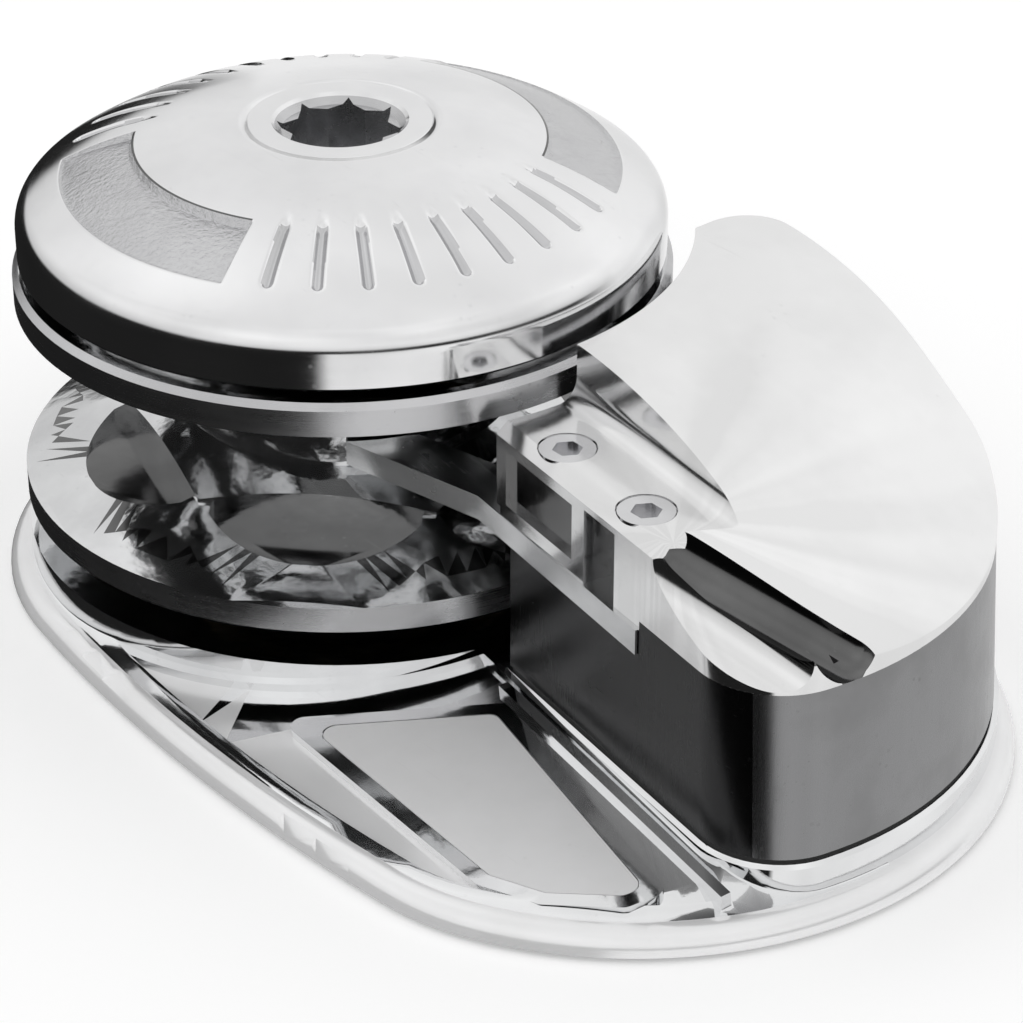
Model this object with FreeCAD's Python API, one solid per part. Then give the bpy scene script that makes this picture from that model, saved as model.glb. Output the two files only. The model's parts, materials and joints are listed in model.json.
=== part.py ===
"""Deck unit of a vertical anchor windlass: base, chain pipe, chain wheel and clutch cap.

Millimetres, +Z up. The origin is where the shaft axis meets the deck. +X runs along the base
towards the chain pipe, and -Y is the side with the badge and the cover's screw ledge.
"""
import math
import os

import FreeCAD
import Part

V = FreeCAD.Vector
UP = V(0, 0, 1)

# Base plan
base_length = 227.8
side_bulge = 4.7            # half-width beyond the big end's radius
bulge_x = 57.0              # where the base is widest
nose_ease = 0.3             # nose arc's radius beyond the half-width
corner_ease = 23.0          # and the corner arcs' radius short of the nose's
rim_shift = -1.5            # outline's own centre line, towards the badge side
lip_margin = 3.4            # base rim beyond the chain wheel's flange
lip_height = 5.5
lip_round = 4.0
body_inset = 3.4            # from the rim in to the raised body
slope_foot = 5.6            # height of the sloping side at the rim
slope_fall = 1.6            # degrees the side also falls towards the nose
taper_foot = 5.0            # the side's edge near the nose: its height at the rim
taper_rise = 0.5            # and its rise per millimetre inwards
gasket_thickness = 1.0
gasket_inset = 3.2
gasket_width = 9.0
pocket_wall = 10.0          # casting left round the hollow under the wheel
pocket_roof = 4.2
panel_inset = 7.2           # sunk side panel in from the rim
panel_depth = 1.6
panel_margin = 1.6          # between the panel and the pipe's near face
pedestal_margin = 1.0       # pipe's footing beyond the pipe
pedestal_bevel = 0.7
rib_width = 2.0
rib_gap = 2.4
rib_length = 74.0
rib_start = 3.0
badge_frame = 3.0
badge_thickness = 1.0
badge_clearance = 0.15
badge_sink = 0.05
badge_tip = -13.5           # badge frame's corners: along the pipe's foot, and down the slope
badge_tip_drop = 42.6
badge_top = 8.3
badge_top_drop = 6.0
badge_toe = 70.5
badge_toe_drop = 10.8
badge_side = 69.6           # the toe's lower corner
badge_side_drop = 19.0
badge_heel = 60.0           # where the lower edge turns up to the toe
badge_heel_drop = 30.5
badge_foot = 49.0
badge_foot_drop = 36.6
badge_corner = 2.6
stud_circle = 44.0
stud_count = 4
stud_angle = 45.0
stud_hole_radius = 4.25
stud_boss_radius = 9.0
stud_hole_roof = 3.0        # metal left above each stud hole

# Heights on the axis
deck_top = 11.7             # top of the boss ring and foot of the chain pipe
wheel_gap = 6.1             # boss ring to the chain wheel
wheel_height = 49.3
cap_gap = 1.9               # chain wheel to the cap's rim
cap_rim_height = 10.0
dome_rise = 15.8

# Chain wheel
flange_radius = 64.6
flange_edge = 6.4           # height of each flange's rim band
flange_bevel = 1.2
root_radius = 33.5
root_half_height = 5.2      # half of the groove's height at its root
pocket_count = 6
pocket_angle = -46.0        # direction of the first pocket
pocket_length = 41.0
pocket_half_height = 15.4
pocket_floor = 40.0
pocket_round = 24.0
pocket_reach = 54.0
facet_slope = 0.3
recess_margin = 3.0         # recess beyond the clutch cone
recess_depth = 4.3

# Shaft, bushes and clutch
shaft_radius = 12.5
journal_step = 2.5          # journal beyond the shaft's clutch length
thread_step = 0.5
fit = 0.05                  # running clearance on a radius
cone_gap = 0.08             # clearance between the clutch cones and the wheel
bush_wall = 3.5
bush_length = 5.2
wheel_bush_wall = 3.5
hub_wall = 8.5
thrust_thickness = 2.0
thrust_margin = 4.0         # thrust washer's bore beyond the journal
washer_margin = 1.0
cone_wall = 10.0            # wheel's hub between its bush and the cones' small ends
cone_taper = 6.0
cone_height = 12.0
cone_hub_gap = 0.6          # end clearance inside the wheel's recesses
cone_cap_height = 4.5
cone_land = 1.5
key_width = 8.0
key_depth = 3.5
key_proud = 3.0
key_end_gap = 1.0
key_top_gap = 0.4
key_length = 10.0
key_clearance = 0.06
ring_thickness = 1.5
ring_width = 3.0
ring_groove = 1.4
ring_gap = 0.4              # between a ring and the part it stops
ring_opening = 5.0
ring_lift = 0.8             # lower ring above the gasket
shaft_end = 1.2             # shaft beyond its stop ring
seal_height = 4.0
seal_gap = 0.2
seal_lip = 1.0
drive_bore_radius = 8.0
drive_bore_depth = 16.0
drive_key_width = 5.0
drive_key_depth = 2.3

# Clutch cap and handle socket
cap_setback = 1.2           # cap's rim inside the flange's
cap_wall = 5.0
cap_bevel = 0.8
cap_shoulder = 6.5
cap_lift = 3.0              # full travel of the cap on its thread
nut_wall = 8.0
nut_height = 5.4
nut_thread_clearance = 0.1
stop_ring_gap = 1.0         # cap's bore round the stop ring
washer_thickness = 1.5
socket_ring_radius = 18.1
socket_gap = 0.7            # shaft's end to the socket's floor
socket_square = 17.5        # across flats of the standard winch handle
socket_bevel = 0.9
socket_edge_bevel = 0.3
slot_width = 2.1
slot_depth = 1.0
slot_length = 12.3
slot_rim_gap = 10.6         # outer end of the slots in from the rim
slot_pitch = 10.0
front_slot_count = 9
front_slot_start = -52.0
back_slot_count = 9
arc_panel_width = 14.0
arc_panel_rim_gap = 9.2
arc_panel_depth = 0.9
arc_panel_gap = 9.0         # angle between a panel and the nearest slot

# Chain pipe
pipe_gap = 8.9              # chain wheel flange to the pipe's concave side
pipe_near = 16.9            # near face's left corner, off the centre line
pipe_near_angle = -8.5
pipe_inset = 4.0            # pipe's and cover's big end inside the base's
pipe_bulge = 4.0
pipe_bulge_x = 47.0
pipe_nose_inset = 5.8       # pipe's nose inside the base's
pipe_corner_ease = 35.0     # its corner arcs' radius short of its nose's
pipe_corner = 16.0
pipe_draft = 1.8            # how far the nose leans in over the wall's height
pipe_rise = 2.85            # pipe's top above the chain wheel's middle
pipe_wall = 5.0
pipe_sill = 14.0            # height of the wall left below the chain's way in
pipe_gasket = 0.8
pipe_gasket_inset = 0.4
horn_height = 8.0           # guard beside the wheel, above the wall
horn_end = 45.0
block_length = 47.0         # solid block under the stripper
block_width = 15.5
pipe_boss_radius = 6.5
pipe_boss_height = 16.0
pipe_screw_length = 18.0
pipe_screw_place = 22.0     # along the block
far_boss_offset = 16.0      # along from the cover's side screw
boss_bite = 2.0             # boss into the wall
tap_bite = 2.0              # metal left round a tapped hole's end
chain_slot_radius = 18.0
chain_slot_length = 20.0
chain_slot_back = 26.5      # from the concave side to the slot's first centre
chain_slot_side = 16.0

# Stripper
stripper_thickness = 5.0
stripper_width = 15.0
stripper_overhang = 3.6     # left of the pipe's near corner
stripper_offset = 1.5       # plate's middle below the wheel's
stripper_proud = 0.6        # near edge beyond the pipe's
stripper_drop = 5.0         # tip's offset from the near corner
stripper_neck = 8.0         # where the near edge turns to the finger
stripper_taper = 9.0
stripper_reach = 1.6        # tip to the wheel's root
stripper_finger = 11.0
stripper_length = 43.0
seat_gap = 0.3

# Cover
ledge_height = 18.6         # above the stripper plate
ledge_length = 50.0
ledge_width = 13.2
ledge_chamfer = 2.2
cove_radius = 4.4
mouth_gap = 4.1             # chain wheel's flange to the cover
cover_wall = 4.2
cover_crest = 27.0          # crest above the pipe's top
cover_tilt = 20.0
cover_seat = 0.4            # top surface's end above the pipe's top
cover_tail = 6.0            # end of the top's fall beyond the nose
brow_back = 65.8            # points down the fall: back from its end, and below the crest
brow_drop = 0.4
shoulder_back = 47.0
shoulder_drop = 5.3
flank_back = 27.3
flank_drop = 14.9
tail_back = 12.2
tail_drop = 22.1
cover_end = 45.8
near_pad_start = 2.0
near_pad_length = 25.0
near_pad_rib = 4.0
far_pad_start = 35.0
pad_margin = 1.2            # ledge's bevel to the hollows below it
pad_foot = 3.0
cavity_depth = 6.5
pad_recess = 1.2
scoop_radius = 5.6
scoop_start = 4.0           # inner scoop's ends: past the ledge, into the pipe, above it
scoop_start_in = 1.0
scoop_start_rise = 1.6
scoop_end = 28.0
scoop_end_in = 20.0
scoop_end_rise = 5.6
outer_scoop_radius = 6.5
outer_scoop_start = 1.0
outer_scoop_start_out = 5.2
outer_scoop_start_drop = 2.4
outer_scoop_end = 31.0
outer_scoop_end_in = 7.0
outer_scoop_end_rise = 5.4
corner_round = 11.0

# Screws
screw_radius = 3.0
screw_hole_clearance = 0.3
csk_head_radius = 5.2
csk_land = 0.5
head_sink = 0.2
hex_across = 5.0
hex_depth = 3.2
cap_head_radius = 5.0
cap_head_height = 6.0
cover_screw_first = 9.6     # along the near face
cover_screw_second = 35.5
cover_screw_in = 6.2        # in from the near face
cover_screw_length = 35.0
side_screw_x = 80.0
side_screw_drop = 10.5
side_screw_length = 13.5
side_screw_proud = 1.4
side_screw_head = 3.8
lug_width = 9.0
lug_depth = 9.0
lug_gap = 0.3               # lug to the cover's wall and roof
lug_tap_depth = 12.0

# Derived places
big_end_radius = flange_radius + lip_margin
half_width = big_end_radius + side_bulge
nose_x = base_length - big_end_radius
nose_radius = half_width + nose_ease
corner_radius = nose_radius - corner_ease
pipe_end_radius = big_end_radius - pipe_inset
pipe_nose_x = nose_x - pipe_nose_inset
pipe_nose_radius = pipe_end_radius + pipe_bulge
pipe_side_corner = pipe_nose_radius - pipe_corner_ease
journal_radius = shaft_radius + journal_step
thread_radius = shaft_radius - thread_step
bush_radius = journal_radius + bush_wall
hub_radius = bush_radius + hub_wall
wheel_bush_radius = shaft_radius + wheel_bush_wall
cone_small_radius = wheel_bush_radius + cone_wall
cone_big_radius = cone_small_radius + cone_taper
recess_radius = cone_big_radius + recess_margin
nut_radius = thread_radius + nut_wall
cap_radius = flange_radius - cap_setback
mouth_radius = flange_radius + mouth_gap
slot_outer = cap_radius - slot_rim_gap
slot_inner = slot_outer - slot_length
arc_panel_outer = cap_radius - arc_panel_rim_gap
arc_panel_inner = arc_panel_outer - arc_panel_width
wheel_z = deck_top + wheel_gap
wheel_top = wheel_z + wheel_height
mid_z = wheel_z + wheel_height / 2
cap_z = wheel_top + cap_gap
rim_z = cap_z + cap_rim_height
crown_z = rim_z + dome_rise
gap_radius = flange_radius + pipe_gap
pipe_z = deck_top + pipe_gasket
pipe_top = mid_z + pipe_rise
pipe_screw_z = gasket_thickness + cap_head_height + seat_gap
stripper_z = mid_z - stripper_thickness / 2 - stripper_offset
stripper_top = stripper_z + stripper_thickness
ledge_z = stripper_top + ledge_height
crest_z = pipe_top + cover_crest
thrust_z = wheel_z + recess_depth - thrust_thickness
cone_z = thrust_z + thrust_thickness + fit
cone_top = cone_z + cone_height
upper_cone_top = 2 * mid_z - cone_z
upper_cone_z = 2 * mid_z - cone_top
washer_z = upper_cone_top + cone_cap_height
nut_z = washer_z + washer_thickness + fit
nut_top = nut_z + nut_height
stop_z = nut_top + cap_lift + ring_gap
shaft_top = stop_z + ring_thickness + shaft_end
socket_z = shaft_top + socket_gap
ring_z = gasket_thickness + ring_lift
bush_z = ring_z + ring_thickness + ring_gap
upper_bush_z = thrust_z - seal_height - seal_gap - bush_length
key_starts = [cone_z + key_end_gap, upper_cone_z + cone_height - key_length + fit]


def turned(points):
    """Solid turned about Z from (radius, height) points."""
    wire = Part.makePolygon([V(r, 0, z) for r, z in points + points[:1]])
    return Part.Face(wire).revolve(V(0, 0, 0), UP, 360)


def tube(inner, outer, low, high):
    """Ring about the shaft axis between two heights."""
    return turned([(inner, low), (outer, low), (outer, high), (inner, high)])


def rod(radius, low, high, x=0.0, y=0.0):
    """Upright cylinder between two heights."""
    return Part.makeCylinder(radius, high - low, V(x, y, low))


def prism(wire, height):
    """Upright solid from a flat wire."""
    return Part.Face(wire).extrude(V(0, 0, height))


def polar(radius, degrees, z=0.0):
    """Point at a radius and an angle about the shaft axis."""
    a = math.radians(degrees)
    return V(radius * math.cos(a), radius * math.sin(a), z)


def turn(shape, degrees, centre=V(0, 0, 0)):
    """Copy of a shape turned about an upright axis."""
    copy = shape.copy()
    copy.rotate(centre, UP, degrees)
    return copy


def fuse(shapes):
    """One shape from several that overlap."""
    whole = shapes[0].multiFuse(shapes[1:]) if len(shapes) > 1 else shapes[0]
    return whole.removeSplitter()


def circle_cross(c1, r1, c2, r2, side):
    """Point where two circles meet, to the left (side 1) or right (-1) of c1 to c2."""
    gap = c2 - c1
    along = (gap.Length ** 2 + r1 ** 2 - r2 ** 2) / (2 * gap.Length)
    off = math.sqrt(r1 ** 2 - along ** 2)
    unit = V(gap).normalize()
    return c1 + unit * along + V(-unit.y, unit.x, 0) * off * side


def arc(centre, start, end, clockwise=False):
    """Arc about a centre, anticlockwise from start to end unless told otherwise."""
    a = math.atan2(start.y - centre.y, start.x - centre.x)
    b = math.atan2(end.y - centre.y, end.x - centre.x)
    if clockwise:
        sweep = -((a - b) % (2 * math.pi))
    else:
        sweep = (b - a) % (2 * math.pi)
    radius = math.hypot(start.x - centre.x, start.y - centre.y)
    half = a + sweep / 2
    middle = V(centre.x + radius * math.cos(half), centre.y + radius * math.sin(half), start.z)
    return Part.Arc(start, middle, end).toShape()


class Oval:
    """Long outline of tangent end, side, corner and nose arcs, the same on both sides."""

    def __init__(self, end_r, bulge, widest_x, tip_x, nose_r, corner_r, shift):
        half = end_r + bulge
        self.end_r, self.nose_r, self.corner_r = end_r, nose_r, corner_r
        self.side_r = (widest_x ** 2 + half ** 2 - end_r ** 2) / (2 * bulge)
        self.end = V(0, 0, 0)
        self.side = V(widest_x, half - self.side_r, 0)
        self.nose = V(tip_x - nose_r, 0, 0)
        self.corner = circle_cross(self.side, self.side_r - corner_r,
                                   self.nose, nose_r - corner_r, -1)
        self.shift = V(0, shift, 0)

    def marks(self, inset, z):
        """Tangent points on the +Y half, moved in by inset."""
        lift = V(0, 0, z)
        end = self.end + (self.end - self.side).normalize() * (self.end_r - inset) + lift
        corner_r = self.corner_r - inset
        side = self.corner + (self.corner - self.side).normalize() * corner_r + lift
        nose = self.corner + (self.corner - self.nose).normalize() * corner_r + lift
        return end, side, nose

    def wire(self, inset, z):
        """Closed outline moved in by inset, at height z."""
        end, side, nose = self.marks(inset, z)
        low_end, low_side, low_nose = mirror_y(end), mirror_y(side), mirror_y(nose)
        edges = [arc(self.end, end, low_end),
                 arc(mirror_y(self.side), low_end, low_side),
                 arc(mirror_y(self.corner), low_side, low_nose),
                 arc(self.nose, low_nose, nose),
                 arc(self.corner, nose, side),
                 arc(self.side, side, end)]
        whole = Part.Wire(edges)
        whole.translate(self.shift)
        return whole

    def solid(self, inset, low, high):
        """Upright prism of the outline."""
        return prism(self.wire(inset, low), high - low)

    def side_y(self, x, inset):
        """Half-width at x along the side, corner and nose arcs, moved in by inset."""
        _, side, nose = self.marks(inset, 0)
        centre, radius = self.side, self.side_r - inset
        if x > nose.x:
            centre, radius = self.nose, self.nose_r - inset
        elif x > side.x:
            centre, radius = self.corner, self.corner_r - inset
        return centre.y + math.sqrt(radius ** 2 - (x - centre.x) ** 2)


def mirror_y(point):
    """The same place on the other side of the centre line."""
    return V(point.x, -point.y, point.z)


end_c = V(0, 0, 0)
rim = Oval(big_end_radius, side_bulge, bulge_x, nose_x, nose_radius, corner_radius, rim_shift)
shell = Oval(pipe_end_radius, pipe_bulge, pipe_bulge_x, pipe_nose_x, pipe_nose_radius,
             pipe_side_corner, 0.0)


# Frame of the cover's falling top, and the frame on the pipe's near face: s runs along it,
# t into the pipe
tilt = math.radians(cover_tilt)
fall = V(math.cos(tilt), math.sin(tilt), 0)
level = V(-fall.y, fall.x, 0)
near_angle = math.radians(pipe_near_angle)
near_c = V(math.sqrt(gap_radius ** 2 - pipe_near ** 2), -pipe_near, 0)
along = V(math.cos(near_angle), math.sin(near_angle), 0)
inward = V(-math.sin(near_angle), math.cos(near_angle), 0)


def near(s, t, z=0.0):
    """Point s along the near face and t inside it."""
    return near_c + along * s + inward * t + V(0, 0, z)


def near_box(s0, s1, t0, t1, z0, z1):
    """Box lined up with the near face."""
    box = Part.makeBox(s1 - s0, t1 - t0, z1 - z0)
    box.Placement = FreeCAD.Placement(near(s0, t0, z0), FreeCAD.Rotation(UP, pipe_near_angle))
    return box


def pipe_wire(inset, z, lean=0.0):
    """Crescent outline of the chain pipe; lean moves only its outer side in."""
    lift = V(0, 0, z)
    outer = inset + lean
    _, side, nose = shell.marks(outer, z)
    nose_r = shell.nose_r - outer
    round_r = pipe_corner - inset if pipe_corner - inset > 2 else 2.0
    start_t = inset + round_r
    start = near(0, start_t)
    rel = start - shell.nose
    b = rel.dot(along)
    s = -b + math.sqrt(b ** 2 - rel.Length ** 2 + (nose_r - round_r) ** 2)
    round_c = near(s, start_t)
    near_end = near(s, inset, z)
    nose_start = shell.nose + (round_c - shell.nose).normalize() * nose_r + lift
    inner_r = gap_radius + inset
    side_r = shell.side_r - outer
    tip = circle_cross(shell.side, side_r, end_c, inner_r, -1) + lift
    base = near(0, inset)
    c = base.dot(along)
    near_start = base + along * (-c + math.sqrt(c ** 2 - base.Length ** 2 + inner_r ** 2)) + lift
    edges = [Part.makeLine(near_start, near_end),
             arc(round_c, near_end, nose_start),
             arc(shell.nose, nose_start, nose),
             arc(shell.corner, nose, side),
             arc(shell.side, side, tip),
             arc(end_c, tip, near_start, clockwise=True)]
    return Part.Wire(edges)


def pipe_prism(inset, low, high, lean=0.0):
    """Upright crescent prism."""
    return prism(pipe_wire(inset, low, lean), high - low)


def csk_screw(length):
    """Countersunk socket screw, head top at z 0, pointing down."""
    hub = csk_land + csk_head_radius - screw_radius
    body = turned([(0, 0), (csk_head_radius, 0), (csk_head_radius, -csk_land),
                   (screw_radius, -hub), (screw_radius, -length), (0, -length)])
    return body.cut(hex_prism(-hex_depth, 0.1))


def csk_hole(length, wide=0.0):
    """Clearance for a countersunk screw, open above."""
    r = csk_head_radius + wide
    hub = csk_land + csk_head_radius - screw_radius
    shank = screw_radius + wide
    return turned([(0, 30), (r, 30), (r, -csk_land), (shank, -hub), (shank, -length),
                   (0, -length)])


def hex_prism(low, high):
    """Hexagon key socket."""
    r = hex_across / math.sqrt(3)
    points = [polar(r, 60 * i, low) for i in range(7)]
    return prism(Part.makePolygon(points), high - low)


def cap_screw(length):
    """Socket cap screw, head's underside at z 0, shank up."""
    head = rod(cap_head_radius, -cap_head_height, 0)
    return fuse([head, rod(screw_radius, -1, length)]).cut(
        hex_prism(-cap_head_height - 1, -cap_head_height + hex_depth))


def moved(shape, place):
    """Copy of a shape moved by a vector."""
    copy = shape.copy()
    copy.translate(place)
    return copy


# Sloping near side of the base: a plane from the pipe's foot down to the rim
slope_run = half_width - rim_shift - body_inset - pipe_near
slope_angle = math.degrees(math.atan2(deck_top - slope_foot, slope_run))
slope_turn = FreeCAD.Rotation(UP, pipe_near_angle).multiply(
    FreeCAD.Rotation(V(0, 1, 0), slope_fall)).multiply(
    FreeCAD.Rotation(V(1, 0, 0), slope_angle))


def on_slope(s, drop, height=0.0):
    """Point on the sloping side: s along the pipe's foot, drop down the slope."""
    local = slope_turn.multVec(V(s, -drop, height))
    return near(0, 0, deck_top) + local


def slope_slab(low, high):
    """Wide slab between two heights above the sloping side."""
    size = 3 * base_length
    slab = Part.makeBox(size, size, high - low)
    slab.Placement = FreeCAD.Placement(on_slope(-size / 2, size - 0.01, low), slope_turn)
    return slab


def badge_prism(inset, low, high):
    """Rounded outline of the badge standing on the slope, moved in by inset."""
    corners = [V(badge_tip, -badge_tip_drop, 0), V(badge_top, -badge_top_drop, 0),
               V(badge_toe, -badge_toe_drop, 0), V(badge_side, -badge_side_drop, 0),
               V(badge_heel, -badge_heel_drop, 0), V(badge_foot, -badge_foot_drop, 0)]
    flat = Part.makePolygon(corners + corners[:1])
    face = Part.Face(flat)
    moved_in = face.makeOffset2D(-inset - badge_corner).makeOffset2D(badge_corner)
    solid = moved_in.extrude(V(0, 0, high - low))
    solid.Placement = FreeCAD.Placement(near(0, 0, deck_top) + slope_turn.multVec(V(0, 0, low)),
                                        slope_turn)
    return solid


# Places of the studs, the chain's slot and the screws
stud_places = [polar(stud_circle, stud_angle + 360 / stud_count * i) for i in range(stud_count)]
slot_start = V(math.sqrt((gap_radius + chain_slot_back) ** 2 - chain_slot_side ** 2),
               chain_slot_side, 0)
slot_end = slot_start + V(chain_slot_length, 0, 0)
nose_boss = V(pipe_nose_x - pipe_wall - pipe_boss_radius, pipe_near / 2, 0)
far_boss = V(side_screw_x + far_boss_offset, 0, 0)
far_boss.y = shell.side_y(far_boss.x, pipe_wall + pipe_boss_radius - boss_bite)
pipe_screw_places = [near(pipe_screw_place, block_width / 2), nose_boss, far_boss]
cover_screw_places = [near(cover_screw_first, cover_screw_in),
                      near(cover_screw_second, cover_screw_in)]


def chain_slot(low, high):
    """Chain's way down through the pipe and base."""
    across = V(0, chain_slot_radius, 0)
    box = Part.makeBox(chain_slot_length, 2 * chain_slot_radius, high - low,
                       slot_start - across + V(0, 0, low))
    return fuse([box, rod(chain_slot_radius, low, high, slot_start.x, slot_start.y),
                 rod(chain_slot_radius, low, high, slot_end.x, slot_end.y)])


def side_body(drop):
    """Sloping near side of the base, lowered by drop: a plane, falling away near the nose."""
    foot = gasket_thickness
    low = rim.wire(body_inset, taper_foot)
    rise = 2 * (deck_top - taper_foot)
    high = rim.wire(body_inset + rise / taper_rise, taper_foot + rise)
    taper = Part.makeLoft([low, high], True, True)
    taper = taper.fuse(rim.solid(body_inset, foot - 1, taper_foot))
    taper = taper.cut(Part.makeBox(base_length, base_length, 3 * deck_top, V(0, 0, 0)))
    taper = taper.cut(rod(flange_radius / 2, 0, 3 * deck_top))
    taper.translate(V(0, 0, -drop))
    return taper.cut(slope_slab(-drop, 3 * deck_top))


def make_base():
    """Base casting with its hub, stud bosses, sloping side and sunk panel."""
    foot = gasket_thickness
    lip = rim.solid(0, foot, lip_height)
    top = [e for e in lip.Edges if min(v.Z for v in e.Vertexes) > lip_height - 0.01]
    lip = lip.makeFillet(lip_round, top)
    pedestal = pipe_prism(-pedestal_margin, foot, deck_top)
    top = [e for e in pedestal.Edges if min(v.Z for v in e.Vertexes) > deck_top - 0.01]
    pedestal = pedestal.makeChamfer(pedestal_bevel, top)
    ring = tube(hub_radius, flange_radius, foot, deck_top)
    whole = fuse([lip, side_body(0), ring, pedestal])
    panel = rim.solid(panel_inset, foot, 2 * deck_top)
    panel = panel.cut(rod(flange_radius + 2, 0, 3 * deck_top))
    panel = panel.cut(near_box(-base_length, base_length, -panel_margin, base_length, 0,
                               3 * deck_top))
    panel = panel.cut(Part.makeBox(base_length, base_length, 3 * deck_top, V(0, -pipe_near, 0)))
    panel = panel.cut(side_body(panel_depth))
    panel = panel.cut(Part.makeBox(base_length, base_length, taper_foot, V(0, -base_length, -2)))
    frame = badge_prism(0, -panel_depth - 3, 0)
    frame = frame.cut(badge_prism(badge_frame, -badge_thickness - 0.1, 1))
    rib = Part.makeBox(rib_length, rib_width, panel_depth + 2)
    rib.Placement = FreeCAD.Placement(on_slope(rib_start, rib_gap + rib_width, -panel_depth - 2),
                                      slope_turn)
    whole = whole.cut(panel).fuse([frame, rib])
    whole = whole.cut(badge_prism(badge_frame, -badge_thickness, panel_depth))
    pocket_radius = flange_radius - pocket_wall
    whole = whole.cut(tube(hub_radius, pocket_radius, 0, deck_top - pocket_roof))
    whole = whole.common(Part.makeBox(4 * base_length, 4 * base_length, deck_top - foot,
                                      V(-2 * base_length, -2 * base_length, foot)))
    bosses = [rod(stud_boss_radius, foot, deck_top - 1, p.x, p.y) for p in stud_places]
    hub = rod(hub_radius, foot, thrust_z)
    whole = fuse([whole, hub] + bosses)
    cuts = [rod(bush_radius, 0, 2 * thrust_z), chain_slot(0, 2 * deck_top)]
    cuts += [rod(stud_hole_radius, 0, deck_top - stud_hole_roof, p.x, p.y) for p in stud_places]
    for place in pipe_screw_places:
        cuts.append(rod(screw_radius + screw_hole_clearance, 0, 2 * deck_top, place.x, place.y))
        cuts.append(rod(cap_head_radius + screw_hole_clearance, 0, pipe_screw_z, place.x, place.y))
    return whole.cut(Part.makeCompound(cuts))


def make_gasket():
    """Flat rubber ring under the base's rim."""
    outer = rim.solid(gasket_inset, 0, gasket_thickness)
    return outer.cut(rim.solid(gasket_inset + gasket_width, -1, gasket_thickness + 1))


def make_badge():
    """Plain satin plate in the badge frame."""
    return badge_prism(badge_frame + badge_clearance, -badge_thickness, -badge_sink)


def make_pipe():
    """Chain pipe body: leaning outer wall, block under the stripper, bosses and guard horn."""
    low = pipe_wire(0, pipe_z)
    high = pipe_wire(0, pipe_top, pipe_draft)
    whole = Part.makeLoft([low, high], True, True)
    inside = pipe_prism(pipe_wall, pipe_z - 1, pipe_top + 1, pipe_draft)
    block = near_box(-20, block_length, 0, block_width, pipe_z - 2, pipe_top + 2)
    hollow = inside.cut(block)
    for place in pipe_screw_places[1:]:
        hollow = hollow.cut(rod(pipe_boss_radius, 0, pipe_z + pipe_boss_height,
                                place.x, place.y))
    wall = whole.cut(hollow)
    horn = pipe_prism(0, pipe_top - 1, pipe_top + horn_height, pipe_draft)
    horn = horn.cut(pipe_prism(pipe_wall, 0, 4 * pipe_top, pipe_draft))
    horn = horn.common(Part.makeBox(horn_end, base_length, base_length, V(0, 0, 0)))
    wall = fuse([wall, horn])
    mouth = rod(gap_radius + pipe_wall + 2, pipe_z + pipe_sill, 3 * pipe_top).cut(
        near_box(-base_length, base_length, -base_length, block_width, 0, 4 * pipe_top))
    mouth = mouth.cut(Part.makeBox(horn_end, base_length, base_length, V(0, 0, 0)))
    seat = near_box(-20, stripper_length + seat_gap, -20, block_width + 20, stripper_z,
                    3 * pipe_top)
    right_x = side_screw_x + lug_width / 2
    lug_y = far_side(right_x) - cover_wall - lug_gap
    lug_top = cover_height(right_x, lug_y) - cover_wall - lug_gap
    lug = Part.makeBox(lug_width, lug_depth, lug_top - pipe_top + lug_depth,
                       V(right_x - lug_width, lug_y - lug_depth, pipe_top - lug_depth))
    lug_foot = Part.makeBox(lug_width, lug_depth + 2 * cover_wall, lug_depth,
                            V(right_x - lug_width, lug_y - lug_depth, pipe_top - lug_depth))
    wall = fuse([wall.cut(mouth).cut(seat), lug, lug_foot.common(whole)])
    cuts = []
    for place in cover_screw_places:
        depth = ledge_z - cover_screw_length - tap_bite
        cuts.append(rod(screw_radius, depth, 3 * pipe_top, place.x, place.y))
    for place in pipe_screw_places:
        cuts.append(rod(screw_radius, 0, pipe_z + pipe_boss_height - tap_bite,
                        place.x, place.y))
    side_hole = Part.makeCylinder(screw_radius, 2 * lug_tap_depth,
                                  side_screw_place(lug_y - lug_tap_depth - far_side(side_screw_x)),
                                  V(0, 1, 0))
    return wall.cut(Part.makeCompound(cuts + [side_hole]))


def make_pipe_gasket():
    """Thin sealing sheet between the base and the chain pipe."""
    sheet = pipe_prism(pipe_gasket_inset, deck_top, pipe_z)
    cuts = [chain_slot(0, 4 * deck_top)]
    for place in pipe_screw_places:
        cuts.append(rod(screw_radius + screw_hole_clearance, 0, 4 * deck_top, place.x, place.y))
    return sheet.cut(Part.makeCompound(cuts))


def make_pipe_screws():
    """Cap screws up through the base into the chain pipe."""
    screw = cap_screw(pipe_screw_length)
    return Part.makeCompound([moved(screw, p + V(0, 0, pipe_screw_z)) for p in pipe_screw_places])


def make_stripper():
    """Plate under the cover with a finger into the wheel's root groove."""
    tip_radius = root_radius + stripper_reach
    tip_y = near(-stripper_overhang, 0).y - stripper_drop
    tip = V(math.sqrt(tip_radius ** 2 - tip_y ** 2), tip_y, stripper_z)
    kink = near(-stripper_overhang - stripper_neck, 0, stripper_z)
    axis = (kink - tip).normalize()
    across = V(-axis.y, axis.x, 0)
    points = [tip, kink, near(stripper_length, -stripper_proud, stripper_z),
              near(stripper_length, stripper_width, stripper_z),
              near(-stripper_overhang, stripper_width, stripper_z),
              tip + across * stripper_finger + axis * stripper_taper]
    plate = prism(Part.makePolygon(points + points[:1]), stripper_thickness)
    plate = plate.cut(rod(tip_radius, 0, 3 * mid_z))
    holes = [rod(screw_radius + screw_hole_clearance, 0, 4 * mid_z, p.x, p.y)
             for p in cover_screw_places]
    return plate.cut(Part.makeCompound(holes))


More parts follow.
